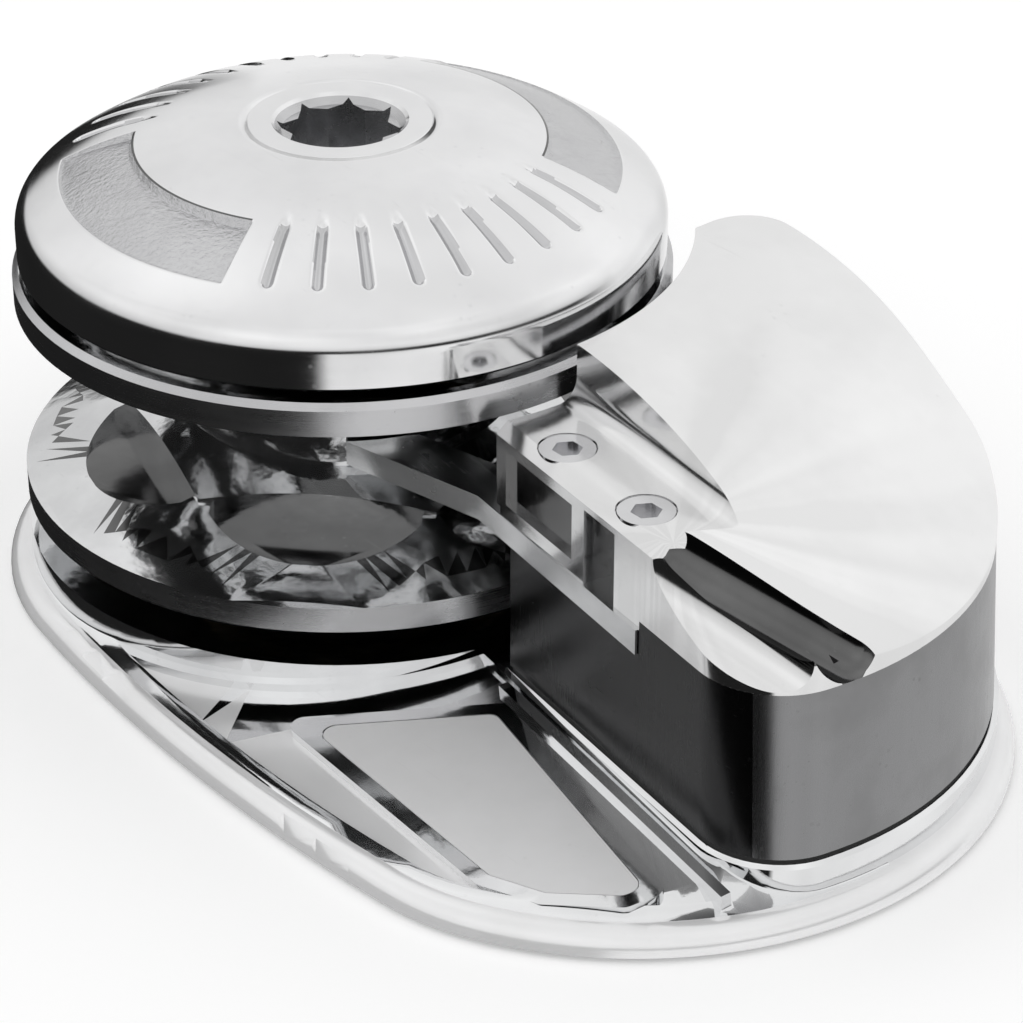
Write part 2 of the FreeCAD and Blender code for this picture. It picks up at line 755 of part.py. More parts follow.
def cover_profile(drop):
    """Points down the cover's fall line: nearly level, then steep, then easing at the nose."""
    end = pipe_nose_x * math.cos(tilt) + cover_tail
    low = pipe_top + cover_seat
    places = [(mouth_radius - ledge_width, crest_z), (end - brow_back, crest_z - brow_drop),
              (end - shoulder_back, crest_z - shoulder_drop),
              (end - flank_back, crest_z - flank_drop),
              (end - tail_back, crest_z - tail_drop), (end, low)]
    return [fall * u + V(0, 0, z - drop) for u, z in places]


def above_cover(drop):
    """Everything above the cover's top surface, lowered by drop."""
    curve = Part.BSplineCurve()
    points = cover_profile(drop)
    curve.interpolate(points)
    first, last = points[0], points[-1]
    far_left = first - fall * base_length
    far_right = last + fall * base_length - V(0, 0, 0.45 * base_length)
    roof = V(0, 0, 3 * crest_z)
    edges = [Part.makeLine(far_left, first), curve.toShape(), Part.makeLine(last, far_right),
             Part.makeLine(far_right, far_right + roof),
             Part.makeLine(far_right + roof, far_left + roof),
             Part.makeLine(far_left + roof, far_left)]
    start = level * (-base_length)
    face = Part.Face(Part.Wire(edges))
    face.translate(start)
    return face.extrude(level * (2 * base_length))


def cover_height(x, y):
    """Rough height of the cover's top at a place, from straight runs between its points."""
    u = x * fall.x + y * fall.y
    places = [(p.dot(fall), p.z) for p in cover_profile(0)]
    for (u0, z0), (u1, z1) in zip(places, places[1:]):
        if u <= u1:
            return z0 + (z1 - z0) * (u - u0) / (u1 - u0)
    return places[-1][1]


def far_side(x):
    """Outer face of the cover's far side at x."""
    return shell.side_y(x, pipe_draft)


def side_screw_place(out=0.0):
    """Where the side screw's axis meets the cover's far side, moved outwards by out."""
    y = far_side(side_screw_x)
    return V(side_screw_x, y + out, cover_height(side_screw_x, y) - side_screw_drop)


def make_cover():
    """Polished cover: falling top, screw ledge, cove, near-side pads, mouth and scoops."""
    tall = 2 * crest_z
    low = pipe_top
    outer = pipe_prism(0, low, tall, pipe_draft)
    outer = outer.cut(rod(mouth_radius, 0, 2 * tall).common(
        near_box(-200, 200, -60, 400, 0, 2 * tall)))
    outer = outer.fuse(pipe_filler(low, tall))
    housing = near_box(-stripper_overhang, ledge_length + 6, 0, block_width + 6,
                       stripper_top, tall)
    right_part = near_box(stripper_length + seat_gap, ledge_length + 30, -1, 60, 0, low)
    outer = fuse([outer, housing.cut(right_part)])
    keep = Part.makeBox(base_length, 2 * base_length, 2 * tall, V(cover_end, -base_length, 0))
    outer = outer.common(keep).cut(above_cover(0))
    outer = outer.cut(ledge_cut())
    hollow = pipe_prism(cover_wall, low - 30, tall, pipe_draft)
    hollow = hollow.fuse(rod(gap_radius + pipe_wall, 0, tall))
    hollow = hollow.common(pipe_reach(low - 30, tall)).cut(above_cover(cover_wall))
    hollow = hollow.cut(near_box(-200, 200, -60, block_width + 4, 0, tall))
    outer = outer.cut(hollow)
    outer = outer.cut(near_box(near_pad_length, far_pad_start, -2, cavity_depth,
                               stripper_top - 1, ledge_z - ledge_chamfer - pad_margin))
    outer = outer.cut(near_box(near_pad_start - stripper_overhang,
                               near_pad_length - near_pad_rib, -2, pad_recess,
                               stripper_top + pad_foot, ledge_z - 2 * ledge_chamfer))
    outer = outer.cut(scoop_cut()).cut(corner_cut())
    cuts = [moved(csk_hole(60, screw_hole_clearance), p + V(0, 0, ledge_z))
            for p in cover_screw_places]
    cuts.append(Part.makeCylinder(screw_radius + screw_hole_clearance, 3 * lug_depth,
                                  side_screw_place(-2 * lug_depth), V(0, 1, 0)))
    seat = Part.makeCylinder(side_screw_head + screw_hole_clearance, 2 * side_screw_head,
                             side_screw_place(), V(0, 1, 0))
    return outer.cut(Part.makeCompound(cuts)).cut(seat)


def pipe_reach(low, high):
    """Region right of the cover's left end and near the pipe's outline."""
    return Part.makeBox(2 * base_length, 2 * base_length, high - low,
                        V(cover_end + cover_wall, -base_length, low)).common(
        shell.solid(cover_wall + pipe_draft, low, high))


def pipe_filler(low, high):
    """Strip between the mouth's radius and the pipe's concave side."""
    ring = tube(mouth_radius, gap_radius + 1, low, high)
    ring = ring.common(shell.solid(pipe_draft, low, high))
    return ring.cut(near_box(-200, 200, -400, 0, 0, 2 * high)).common(
        Part.makeBox(base_length, base_length, high, V(cover_end, -pipe_near, low)))


def ledge_cut():
    """Space above the ledge with a coved inner side, extruded along the near face."""
    top = 2 * crest_z
    a = near(-20, -20, ledge_z)
    b = near(-20, ledge_width, ledge_z)
    m = near(-20, ledge_width + cove_radius * math.sin(math.pi / 4),
             ledge_z + cove_radius * (1 - math.cos(math.pi / 4)))
    c = near(-20, ledge_width + cove_radius, ledge_z + cove_radius)
    d = near(-20, ledge_width + cove_radius, top)
    e = near(-20, -20, top)
    edges = [Part.makeLine(a, b), Part.Arc(b, m, c).toShape(), Part.makeLine(c, d),
             Part.makeLine(d, e), Part.makeLine(e, a)]
    space = Part.Face(Part.Wire(edges)).extrude(along * (20 + ledge_length))
    corner = [near(-20, -1, ledge_z - ledge_chamfer - 1), near(-20, -1, ledge_z + 1),
              near(-20, ledge_chamfer + 1, ledge_z + 1)]
    bevel = Part.Face(Part.makePolygon(corner + corner[:1])).extrude(along * (20 + ledge_length))
    return space.fuse(bevel)


def scoop_cut():
    """Two hollows side by side from the ledge's end round the near corner of the nose."""
    inner = rod_between(near(ledge_length + scoop_start, scoop_start_in,
                             ledge_z + scoop_start_rise),
                        near(ledge_length + scoop_end, scoop_end_in, pipe_top + scoop_end_rise),
                        scoop_radius)
    outer = rod_between(near(ledge_length + outer_scoop_start, -outer_scoop_start_out,
                             ledge_z - outer_scoop_start_drop),
                        near(ledge_length + outer_scoop_end, outer_scoop_end_in,
                             pipe_top + outer_scoop_end_rise), outer_scoop_radius)
    return inner.fuse(outer)


def rod_between(start, end, radius):
    """Cylinder with round ends between two points."""
    axis = end - start
    body = Part.makeCylinder(radius, axis.Length, start, axis)
    return body.fuse([Part.makeSphere(radius, start), Part.makeSphere(radius, end)])


def corner_cut():
    """Rounds the cover's far corner beside the mouth, seen from above."""
    y = far_side(cover_end) - corner_round
    block = Part.makeBox(corner_round + 2, corner_round + 6, 3 * crest_z, V(cover_end - 2, y, 0))
    return block.cut(rod(corner_round, 0, 3 * crest_z, cover_end + corner_round, y))


def make_cover_screws():
    """Two countersunk screws through the ledge and stripper into the pipe's block."""
    screw = csk_screw(cover_screw_length)
    return Part.makeCompound([moved(screw, p + V(0, 0, ledge_z - head_sink))
                              for p in cover_screw_places])


def make_side_screw():
    """Screw through the cover's far side into the pipe's lug."""
    bite = side_screw_proud / 2
    shank = Part.makeCylinder(screw_radius, side_screw_length + bite,
                              side_screw_place(-side_screw_length), V(0, 1, 0))
    head = Part.makeCylinder(side_screw_head, side_screw_proud, side_screw_place(), V(0, 1, 0))
    return fuse([shank, head])


def make_wheel():
    """Chain wheel: two coned flanges, root groove, link pockets and scoops between ridges."""
    low, high = wheel_z, wheel_top
    r = flange_radius
    meet = root_radius
    cone_at_root = mid_z - root_half_height
    outline = [(recess_radius, low), (r - flange_bevel, low), (r, low + flange_bevel),
               (r, low + flange_edge), (meet, cone_at_root), (meet, 2 * mid_z - cone_at_root),
               (r, high - flange_edge), (r, high - flange_bevel), (r - flange_bevel, high),
               (recess_radius, high), (recess_radius, 2 * mid_z - cone_z),
               (cone_big_radius + cone_gap, 2 * mid_z - cone_z),
               (cone_small_radius + cone_gap, 2 * mid_z - cone_top - cone_hub_gap),
               (wheel_bush_radius, 2 * mid_z - cone_top - cone_hub_gap),
               (wheel_bush_radius, cone_top + cone_hub_gap),
               (cone_small_radius + cone_gap, cone_top + cone_hub_gap),
               (cone_big_radius + cone_gap, cone_z), (recess_radius, cone_z)]
    body = turned(outline)
    cuts = []
    for i in range(pocket_count):
        angle = pocket_angle + 360 / pocket_count * i
        cuts.append(turn(link_pocket(), angle))
        for sign in (1, -1):
            cuts.append(turn(facet(sign), angle))
    return body.cut(Part.makeCompound(cuts))


def facet(sign):
    """Sloping flat that hollows one flange between two ridges; sign 1 is the lower flange."""
    edge_r = flange_radius - flange_bevel
    edge_z = mid_z - sign * (wheel_height / 2 - flange_edge)
    inner_z = edge_z + sign * (edge_r - pocket_floor) * facet_slope
    points = [V(edge_r, 0, edge_z), V(pocket_floor, 0, inner_z), V(pocket_floor, 0, mid_z),
              V(edge_r, 0, mid_z)]
    face = Part.Face(Part.makePolygon(points + points[:1]))
    face.translate(V(0, -edge_r, 0))
    return face.extrude(V(0, 2 * edge_r, 0))


def link_pocket():
    """Seat for a flat link across both flanges, rounded outwards."""
    box = Part.makeBox(flange_radius, pocket_length, 2 * pocket_half_height,
                       V(pocket_floor, -pocket_length / 2, mid_z - pocket_half_height))
    return box.common(rod(pocket_round, 0, 2 * mid_z, pocket_reach - pocket_round))


def keyed_bore(low, high, angle=90.0):
    """Shaft bore with a keyway, to cut from a cone."""
    width = key_width + 2 * key_clearance
    slot = Part.makeBox(key_proud + key_top_gap + shaft_radius, width, high - low,
                        V(0, -width / 2, low))
    return fuse([rod(shaft_radius + fit, low, high), turn(slot, angle)])


def make_lower_cone():
    """Lower clutch cone, keyed to the shaft and resting on the thrust washer."""
    body = turned([(0, cone_z), (cone_big_radius, cone_z), (cone_small_radius, cone_top),
                   (0, cone_top)])
    return body.cut(keyed_bore(cone_z - 1, cone_top + 1))


def make_upper_cone():
    """Upper clutch cone, sliding on its key, pressed down by the cap."""
    body = turned([(0, upper_cone_z), (cone_small_radius, upper_cone_z),
                   (cone_big_radius, upper_cone_top), (cone_big_radius, upper_cone_top + cone_land),
                   (hub_radius, washer_z), (0, washer_z)])
    return body.cut(keyed_bore(upper_cone_z - 1, washer_z + 1))


def key_box(low):
    """Key standing in the shaft's keyway."""
    return turn(Part.makeBox(key_proud + key_depth, key_width, key_length,
                             V(shaft_radius - key_depth, -key_width / 2, low)), 90)


def make_keys():
    """Keys for the lower and upper cones."""
    return Part.makeCompound([key_box(z) for z in key_starts])


def make_shaft():
    """Main shaft: journal, shoulder, keyways, thread and keyed drive bore."""
    thread_z = washer_z - 1
    body = turned([(0, 0), (journal_radius, 0), (journal_radius, cone_z),
                   (shaft_radius, cone_z), (shaft_radius, thread_z),
                   (thread_radius, thread_z + thread_step), (thread_radius, shaft_top), (0, shaft_top)])
    cuts = [key_box(z) for z in key_starts]
    cuts.append(tube(journal_radius - ring_groove, journal_radius + 2, ring_z, ring_z
                     + ring_thickness))
    cuts.append(tube(thread_radius - ring_groove, thread_radius + 2, stop_z,
                     stop_z + ring_thickness))
    cuts.append(rod(drive_bore_radius, -1, drive_bore_depth))
    cuts.append(Part.makeBox(drive_bore_radius + drive_key_depth, drive_key_width,
                             drive_bore_depth + 1, V(0, -drive_key_width / 2, -1)))
    return body.cut(Part.makeCompound(cuts))


def make_retaining_ring():
    """Ring below the lower bush that keeps the shaft from lifting."""
    ring = tube(journal_radius - ring_groove, journal_radius + ring_width, ring_z,
                ring_z + ring_thickness)
    return ring.cut(Part.makeBox(2 * journal_radius, ring_opening, 10,
                                 V(0, -ring_opening / 2, ring_z - 1)))


def make_stop_ring():
    """Ring at the shaft's top that stops the cap's nut."""
    ring = tube(thread_radius - ring_groove, thread_radius + ring_width, stop_z,
                stop_z + ring_thickness)
    return ring.cut(Part.makeBox(2 * thread_radius, ring_opening, 10,
                                 V(0, -ring_opening / 2, stop_z - 1)))


def make_bush(low):
    """Plain bush in the base's hub."""
    return tube(journal_radius + fit, bush_radius, low, low + bush_length)


def make_seal():
    """Lip seal above the upper bush."""
    z = thrust_z - seal_height
    return turned([(journal_radius + fit, z + seal_lip), (bush_radius, z),
                   (bush_radius, thrust_z - seal_gap),
                   (journal_radius + fit, thrust_z - seal_gap - seal_lip)])


def make_thrust_washer():
    """Bronze washer between the base's hub and the lower cone."""
    return tube(journal_radius + thrust_margin, hub_radius - washer_margin, thrust_z,
                thrust_z + thrust_thickness)


def make_wheel_bush():
    """Bush pressed in the chain wheel, running on the shaft."""
    return tube(shaft_radius + fit, wheel_bush_radius, cone_top + cone_hub_gap,
                2 * mid_z - cone_top - cone_hub_gap)


def make_cap_washer():
    """Washer between the upper cone and the cap's nut."""
    return tube(thread_radius + washer_margin, hub_radius - washer_margin, washer_z,
                washer_z + washer_thickness)


def make_nut():
    """Threaded bronze nut pressed in the cap."""
    return tube(thread_radius + nut_thread_clearance, nut_radius, nut_z, nut_top)


def dome_height(radius, drop=0.0):
    """Height of the dome's face at a radius, lowered by drop."""
    share = (radius - socket_ring_radius) / (cap_radius - socket_ring_radius)
    return rim_z + dome_rise * (1 - share ** 2) - drop


def dome_arc(inner, outer, drop=0.0):
    """Dome's section from an inner radius to an outer one, lowered by drop."""
    middle = (inner + outer) / 2
    return Part.Arc(V(inner, 0, dome_height(inner, drop)), V(middle, 0, dome_height(middle, drop)),
                    V(outer, 0, dome_height(outer, drop))).toShape()


def closed_section(first, points):
    """Solid turned about Z from one curved edge closed by straight lines through points."""
    ends = [first.valueAt(first.LastParameter)] + points + [first.valueAt(first.FirstParameter)]
    edges = [first] + [Part.makeLine(a, b) for a, b in zip(ends, ends[1:])]
    return Part.Face(Part.Wire(edges)).revolve(V(0, 0, 0), UP, 360)


def make_cap():
    """Clutch cap: domed shell with hub, radial slots and sunk arc panels."""
    low = cap_z
    body = closed_section(dome_arc(socket_ring_radius, cap_radius),
                          [V(cap_radius, 0, low + cap_bevel), V(cap_radius - cap_bevel, 0, low),
                           V(0, 0, low), V(0, 0, crown_z)])
    edge = [e for e in body.Edges if abs(e.BoundBox.ZMin - rim_z) < 0.01
            and abs(e.BoundBox.ZMax - rim_z) < 0.01]
    body = body.makeFillet(cap_shoulder, edge)
    inner = cap_radius - cap_wall
    hollow = closed_section(dome_arc(hub_radius, inner, cap_wall),
                            [V(inner, 0, low - 1), V(hub_radius, 0, low - 1)])
    body = body.cut(hollow).cut(rod(hub_radius, low - 5, nut_z))
    stop_room = rod(thread_radius + ring_width + stop_ring_gap, nut_top - 1, socket_z + 1)
    body = body.cut(fuse([rod(nut_radius, low - 5, nut_top), stop_room,
                          rod(socket_ring_radius, socket_z, crown_z + 5)]))
    air = dome_shell(slot_depth)
    slot = fuse([Part.makeBox(slot_length, slot_width, 40,
                              V(slot_inner, -slot_width / 2, rim_z - 5)),
                 rod(slot_width / 2, rim_z - 5, rim_z + 35, slot_inner),
                 rod(slot_width / 2, rim_z - 5, rim_z + 35, slot_outer)])
    grooves = [turn(slot, angle).common(air) for angle in slot_angles()]
    air = dome_shell(arc_panel_depth)
    ring = tube(arc_panel_inner, arc_panel_outer, rim_z - 5, crown_z + 5)
    for start, sweep in arc_panels():
        grooves.append(ring.common(wedge(start, sweep)).common(air))
    return body.cut(Part.makeCompound(grooves))


def slot_angles():
    """Directions of the radial slots, front group then back group."""
    front = [front_slot_start + slot_pitch * i for i in range(front_slot_count)]
    back = [front_slot_start + 180 + slot_pitch * i for i in range(back_slot_count + 1)]
    return front + back


def arc_panels():
    """Start and sweep of the two sunk panels between the slot groups."""
    front_end = front_slot_start + slot_pitch * (front_slot_count - 1)
    back_end = front_slot_start + 180 + slot_pitch * back_slot_count
    first = front_end + arc_panel_gap
    second = back_end + arc_panel_gap
    return [(first, front_slot_start + 180 - arc_panel_gap - first),
            (second, front_slot_start + 360 - arc_panel_gap - second)]


def wedge(start, sweep):
    """Upright pie slice about the shaft axis."""
    size = 2 * cap_radius
    a, b = polar(size, start), polar(size, start + sweep)
    m = polar(size, start + sweep / 2)
    edges = [Part.makeLine(V(0, 0, 0), a), Part.Arc(a, m, b).toShape(),
             Part.makeLine(b, V(0, 0, 0))]
    return prism(Part.Wire(edges), 3 * rim_z)


def dome_shell(depth):
    """Layer of the dome from its surface down to a depth, and the air above it."""
    top = 2 * crown_z
    return closed_section(dome_arc(socket_ring_radius, cap_radius, depth),
                          [V(cap_radius, 0, top), V(socket_ring_radius, 0, top)])


def make_socket():
    """Insert with the eight-point star: two squares an eighth of a turn apart."""
    half = socket_square / 2
    tip = half * math.sqrt(2)
    body = rod(socket_ring_radius, socket_z, crown_z)
    edge = [e for e in body.Edges if e.BoundBox.ZMin > crown_z - 0.01]
    body = body.makeChamfer(socket_edge_bevel, edge)
    square = Part.makeBox(socket_square, socket_square, crown_z, V(-half, -half, socket_z - 20))
    lead = Part.makeCone(tip - 1, tip + socket_bevel, 1 + socket_bevel,
                         V(0, 0, crown_z - 1 - socket_bevel + 0.01))
    return body.cut(fuse([square, turn(square, 45)])).cut(lead)


NODES = {
    "base_casting": make_base,
    "deck_gasket": make_gasket,
    "badge_plate": make_badge,
    "chain_pipe": make_pipe,
    "pipe_gasket": make_pipe_gasket,
    "pipe_screws": make_pipe_screws,
    "stripper_plate": make_stripper,
    "pipe_cover": make_cover,
    "cover_screws": make_cover_screws,
    "cover_side_screw": make_side_screw,
    "lower_bush": lambda: make_bush(bush_z),
    "upper_bush": lambda: make_bush(upper_bush_z),
    "shaft_seal": make_seal,
    "thrust_washer": make_thrust_washer,
    "main_shaft": make_shaft,
    "retaining_ring": make_retaining_ring,
    "stop_ring": make_stop_ring,
    "cone_keys": make_keys,
    "lower_cone": make_lower_cone,
    "chain_wheel": make_wheel,
    "wheel_bush": make_wheel_bush,
    "upper_cone": make_upper_cone,
    "cap_washer": make_cap_washer,
    "clutch_cap": make_cap,
    "cap_nut": make_nut,
    "handle_socket": make_socket,
}


def main():
    """Write one STEP file per node."""
    os.makedirs("parts", exist_ok=True)
    for node, make in NODES.items():
        shape = make()
        shape.exportStep("parts/" + node + ".step")
        print(node, "solids", len(shape.Solids), "valid", shape.isValid(),
              "volume", round(shape.Volume))


main()
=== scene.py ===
"""Looks of a vertical anchor windlass: dressed metal, fine pieces, soft studio and camera."""

import json
import logging
import math
from dataclasses import dataclass, field
from enum import Enum
from typing import Callable

import bmesh
import bpy
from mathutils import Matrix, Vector

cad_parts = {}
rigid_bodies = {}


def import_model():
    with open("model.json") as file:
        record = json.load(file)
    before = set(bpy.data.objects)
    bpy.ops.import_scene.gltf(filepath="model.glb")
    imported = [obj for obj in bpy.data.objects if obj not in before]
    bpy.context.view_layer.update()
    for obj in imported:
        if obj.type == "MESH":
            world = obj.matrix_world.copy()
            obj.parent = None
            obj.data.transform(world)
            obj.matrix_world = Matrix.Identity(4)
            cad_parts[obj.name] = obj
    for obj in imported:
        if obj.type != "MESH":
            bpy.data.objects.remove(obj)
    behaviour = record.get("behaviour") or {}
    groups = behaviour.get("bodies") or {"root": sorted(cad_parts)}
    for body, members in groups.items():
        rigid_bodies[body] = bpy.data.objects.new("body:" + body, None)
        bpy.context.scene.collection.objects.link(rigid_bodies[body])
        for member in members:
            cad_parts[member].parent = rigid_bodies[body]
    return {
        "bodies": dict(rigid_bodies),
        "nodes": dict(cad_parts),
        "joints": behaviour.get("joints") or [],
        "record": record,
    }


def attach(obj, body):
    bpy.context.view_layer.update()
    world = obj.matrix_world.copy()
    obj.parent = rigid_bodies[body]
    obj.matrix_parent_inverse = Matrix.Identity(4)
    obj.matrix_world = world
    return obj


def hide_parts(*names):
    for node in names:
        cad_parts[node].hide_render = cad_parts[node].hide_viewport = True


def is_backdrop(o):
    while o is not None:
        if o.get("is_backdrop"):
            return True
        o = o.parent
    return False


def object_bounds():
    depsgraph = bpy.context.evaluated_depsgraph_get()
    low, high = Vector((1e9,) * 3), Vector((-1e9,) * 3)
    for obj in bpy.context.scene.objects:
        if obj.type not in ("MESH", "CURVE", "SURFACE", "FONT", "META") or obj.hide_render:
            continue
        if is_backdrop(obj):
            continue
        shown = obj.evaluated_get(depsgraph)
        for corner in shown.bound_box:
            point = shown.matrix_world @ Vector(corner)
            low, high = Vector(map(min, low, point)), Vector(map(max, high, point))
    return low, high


LOG = logging.getLogger("windlass")
MM = 0.001


class Deck(Enum):
    """Bodies that a piece can ride on."""
    UNIT = "deck_unit"
    SHAFT = "shaft"
    WHEEL = "wheel"
    CONE = "clutch_cone"
    CAP = "cap"


# ---------------------------------------------------------------- shader groups

class GroupMaker:
    """Builds one shader node group and keeps its nodes tidy."""

    def __init__(self, name: str) -> None:
        """Start an empty group called name."""
        self.tree = bpy.data.node_groups.new(name, "ShaderNodeTree")
        self.nodes = self.tree.nodes
        self.links = self.tree.links
        self.into = self.nodes.new("NodeGroupInput")
        self.out = self.nodes.new("NodeGroupOutput")

    def value_in(self, name: str, default: float, kind: str = "NodeSocketFloat") -> None:
        """Add an input socket with a default."""
        socket = self.tree.interface.new_socket(name, in_out="INPUT", socket_type=kind)
        if kind == "NodeSocketFloat":
            socket.default_value = default

    def value_out(self, name: str, kind: str = "NodeSocketFloat") -> None:
        """Add an output socket."""
        self.tree.interface.new_socket(name, in_out="OUTPUT", socket_type=kind)

    def add(self, kind: str, **settings: object) -> bpy.types.Node:
        """Add a node and set its plain properties."""
        node = self.nodes.new(kind)
        for key, value in settings.items():
            setattr(node, key, value)
        return node

    def math(self, operation: str, a: object, b: object = 0.0,
             clamp: bool = False) -> bpy.types.NodeSocket:
        """Math node over sockets or numbers.

        Args:
            operation: name of the math operation.
            a: first socket or number.
            b: second socket or number.
            clamp: keep the result within 0 and 1.

        Returns:
            The result socket.
        """
        node = self.add("ShaderNodeMath", operation=operation, use_clamp=clamp)
        for socket, value in zip(node.inputs, (a, b)):
            if isinstance(value, (int, float)):
                socket.default_value = value
            else:
                self.links.new(value, socket)
        return node.outputs[0]

    def noise(self, vector: bpy.types.NodeSocket, scale: float, detail: float = 2.0,
              roughness: float = 0.5) -> bpy.types.NodeSocket:
        """Noise value between 0 and 1 at a scale."""
        node = self.add("ShaderNodeTexNoise")
        node.inputs["Scale"].default_value = scale
        node.inputs["Detail"].default_value = detail
        node.inputs["Roughness"].default_value = roughness
        self.links.new(vector, node.inputs["Vector"])
        return node.outputs["Fac"]

    def spread(self, value: bpy.types.NodeSocket, low: float, high: float,
               to_low: float = 0.0, to_high: float = 1.0) -> bpy.types.NodeSocket:
        """Map a value range onto another, clamped."""
        node = self.add("ShaderNodeMapRange")
        node.inputs["From Min"].default_value = low
        node.inputs["From Max"].default_value = high
        node.inputs["To Min"].default_value = to_low
        node.inputs["To Max"].default_value = to_high
        self.links.new(value, node.inputs["Value"])
        return node.outputs["Result"]

    def place(self) -> bpy.types.NodeSocket:
        """Object coordinates."""
        return self.add("ShaderNodeTexCoord").outputs["Object"]


def turned_lines() -> bpy.types.NodeTree:
    """Group of fine rings round the Z axis, as a lathe or a polishing wheel leaves them."""
    g = GroupMaker("turned_lines")
    g.value_out("Height")
    g.value_out("Mask")
    split = g.add("ShaderNodeSeparateXYZ")
    g.links.new(g.place(), split.inputs[0])
    x, y, z = split.outputs
    radius = g.math("SQRT", g.math("ADD", g.math("MULTIPLY", x, x), g.math("MULTIPLY", y, y)))
    joined = g.add("ShaderNodeCombineXYZ")
    g.links.new(radius, joined.inputs[0])
    g.links.new(z, joined.inputs[1])
    g.links.new(g.math("MULTIPLY", g.math("ARCTAN2", y, x), 0.0004), joined.inputs[2])
    fine = g.noise(joined.outputs[0], 5200.0, 3.0, 0.7)
    broad = g.noise(joined.outputs[0], 900.0, 2.0, 0.5)
    total = g.math("ADD", g.math("MULTIPLY", fine, 0.65), g.math("MULTIPLY", broad, 0.35))
    g.links.new(total, g.out.inputs["Height"])
    g.links.new(g.spread(total, 0.35, 0.65), g.out.inputs["Mask"])
    return g.tree


def straight_lines() -> bpy.types.NodeTree:
    """Group of fine straight brushing along one direction given by a turned vector."""
    g = GroupMaker("straight_lines")
    g.value_in("Vector", 0.0, "NodeSocketVector")
    g.value_out("Height")
    g.value_out("Mask")
    stretch = g.add("ShaderNodeVectorMath", operation="MULTIPLY")
    stretch.inputs[1].default_value = (0.018, 1.0, 1.0)
    g.links.new(g.into.outputs["Vector"], stretch.inputs[0])
    fine = g.noise(stretch.outputs[0], 4200.0, 3.0, 0.7)
    broad = g.noise(stretch.outputs[0], 700.0, 2.0, 0.5)
    total = g.math("ADD", g.math("MULTIPLY", fine, 0.6), g.math("MULTIPLY", broad, 0.4))
    g.links.new(total, g.out.inputs["Height"])
    g.links.new(g.spread(total, 0.35, 0.65), g.out.inputs["Mask"])
    return g.tree


def handling_marks() -> bpy.types.NodeTree:
    """Group of smudges, water spots and hairline scratches over polished metal."""
    g = GroupMaker("handling_marks")
    g.value_out("Smudge")
    g.value_out("Spots")
    g.value_out("Scratches")
    here = g.place()
    cloud = g.noise(here, 38.0, 4.0, 0.6)
    g.links.new(g.spread(cloud, 0.42, 0.7), g.out.inputs["Smudge"])
    cells = g.add("ShaderNodeTexVoronoi", feature="F1")
    cells.inputs["Scale"].default_value = 420.0
    g.links.new(here, cells.inputs["Vector"])
    dots = g.spread(cells.outputs["Distance"], 0.1, 0.22, 1.0, 0.0)
    thin = g.spread(g.noise(here, 90.0, 2.0), 0.55, 0.68)
    g.links.new(g.math("MULTIPLY", dots, thin), g.out.inputs["Spots"])
    bent = g.add("ShaderNodeMapping")
    bent.inputs["Rotation"].default_value = (0.5, 0.9, 0.7)
    bent.inputs["Scale"].default_value = (0.03, 1.0, 1.0)
    g.links.new(here, bent.inputs["Vector"])
    hair = g.noise(bent.outputs[0], 1500.0, 2.0, 0.6)
    g.links.new(g.spread(hair, 0.68, 0.75), g.out.inputs["Scratches"])
    return g.tree


def cast_skin() -> bpy.types.NodeTree:
    """Group of the soft waves and pits that a polished casting keeps under its plating."""
    g = GroupMaker("cast_skin")
    g.value_out("Wave")
    g.value_out("Pits")
    here = g.place()
    wave = g.math("ADD", g.noise(here, 60.0, 2.0, 0.5),
                  g.math("MULTIPLY", g.noise(here, 260.0, 2.0, 0.5), 0.25))
    g.links.new(wave, g.out.inputs["Wave"])
    g.links.new(g.spread(g.noise(here, 1400.0, 2.0, 0.6), 0.66, 0.78), g.out.inputs["Pits"])
    return g.tree


def stipple() -> bpy.types.NodeTree:
    """Group of the coarse pebble texture cast into sunk panels."""
    g = GroupMaker("stipple")
    g.value_out("Height")
    here = g.place()
    cells = g.add("ShaderNodeTexVoronoi", feature="SMOOTH_F1")
    cells.inputs["Scale"].default_value = 900.0
    g.links.new(here, cells.inputs["Vector"])
    rough = g.noise(here, 1500.0, 3.0, 0.7)
    g.links.new(g.math("ADD", g.math("MULTIPLY", cells.outputs["Distance"], -0.6), rough),
                g.out.inputs["Height"])
    return g.tree


def fan_painted_reflection() -> bpy.types.NodeTree:
    """Group of a painted reflection: soft fan-shaped bands round the end of a ledge, as the
    curved cover mirrors the studio.
    """
    g = GroupMaker("fan_painted_reflection")
    g.value_in("X", 0.0)
    g.value_in("Y", 0.0)
    g.value_in("Reach", 0.1)
    g.value_out("Mask")
    split = g.add("ShaderNodeSeparateXYZ")
    g.links.new(g.place(), split.inputs[0])
    across = g.math("SUBTRACT", split.outputs["X"], g.into.outputs["X"])
    along = g.math("SUBTRACT", split.outputs["Y"], g.into.outputs["Y"])
    away = g.math("SQRT", g.math("ADD", g.math("MULTIPLY", across, across),
                                 g.math("MULTIPLY", along, along)))
    ray = g.add("ShaderNodeCombineXYZ")
    g.links.new(g.math("ARCTAN2", along, across), ray.inputs[0])
    bands = g.spread(g.noise(ray.outputs[0], 2.6, 2.0, 0.5), 0.42, 0.68)
    fade = g.math("SUBTRACT", 1.0, g.math("DIVIDE", away, g.into.outputs["Reach"]), True)
    g.links.new(g.math("MULTIPLY", bands, fade), g.out.inputs["Mask"])
    return g.tree


class Groups:
    """The shader groups, each made once."""

    def __init__(self) -> None:
        """Make every group."""
        self.turned = turned_lines()
        self.straight = straight_lines()
        self.marks = handling_marks()
        self.cast = cast_skin()
        self.stipple = stipple()
        self.painted_fan = fan_painted_reflection()


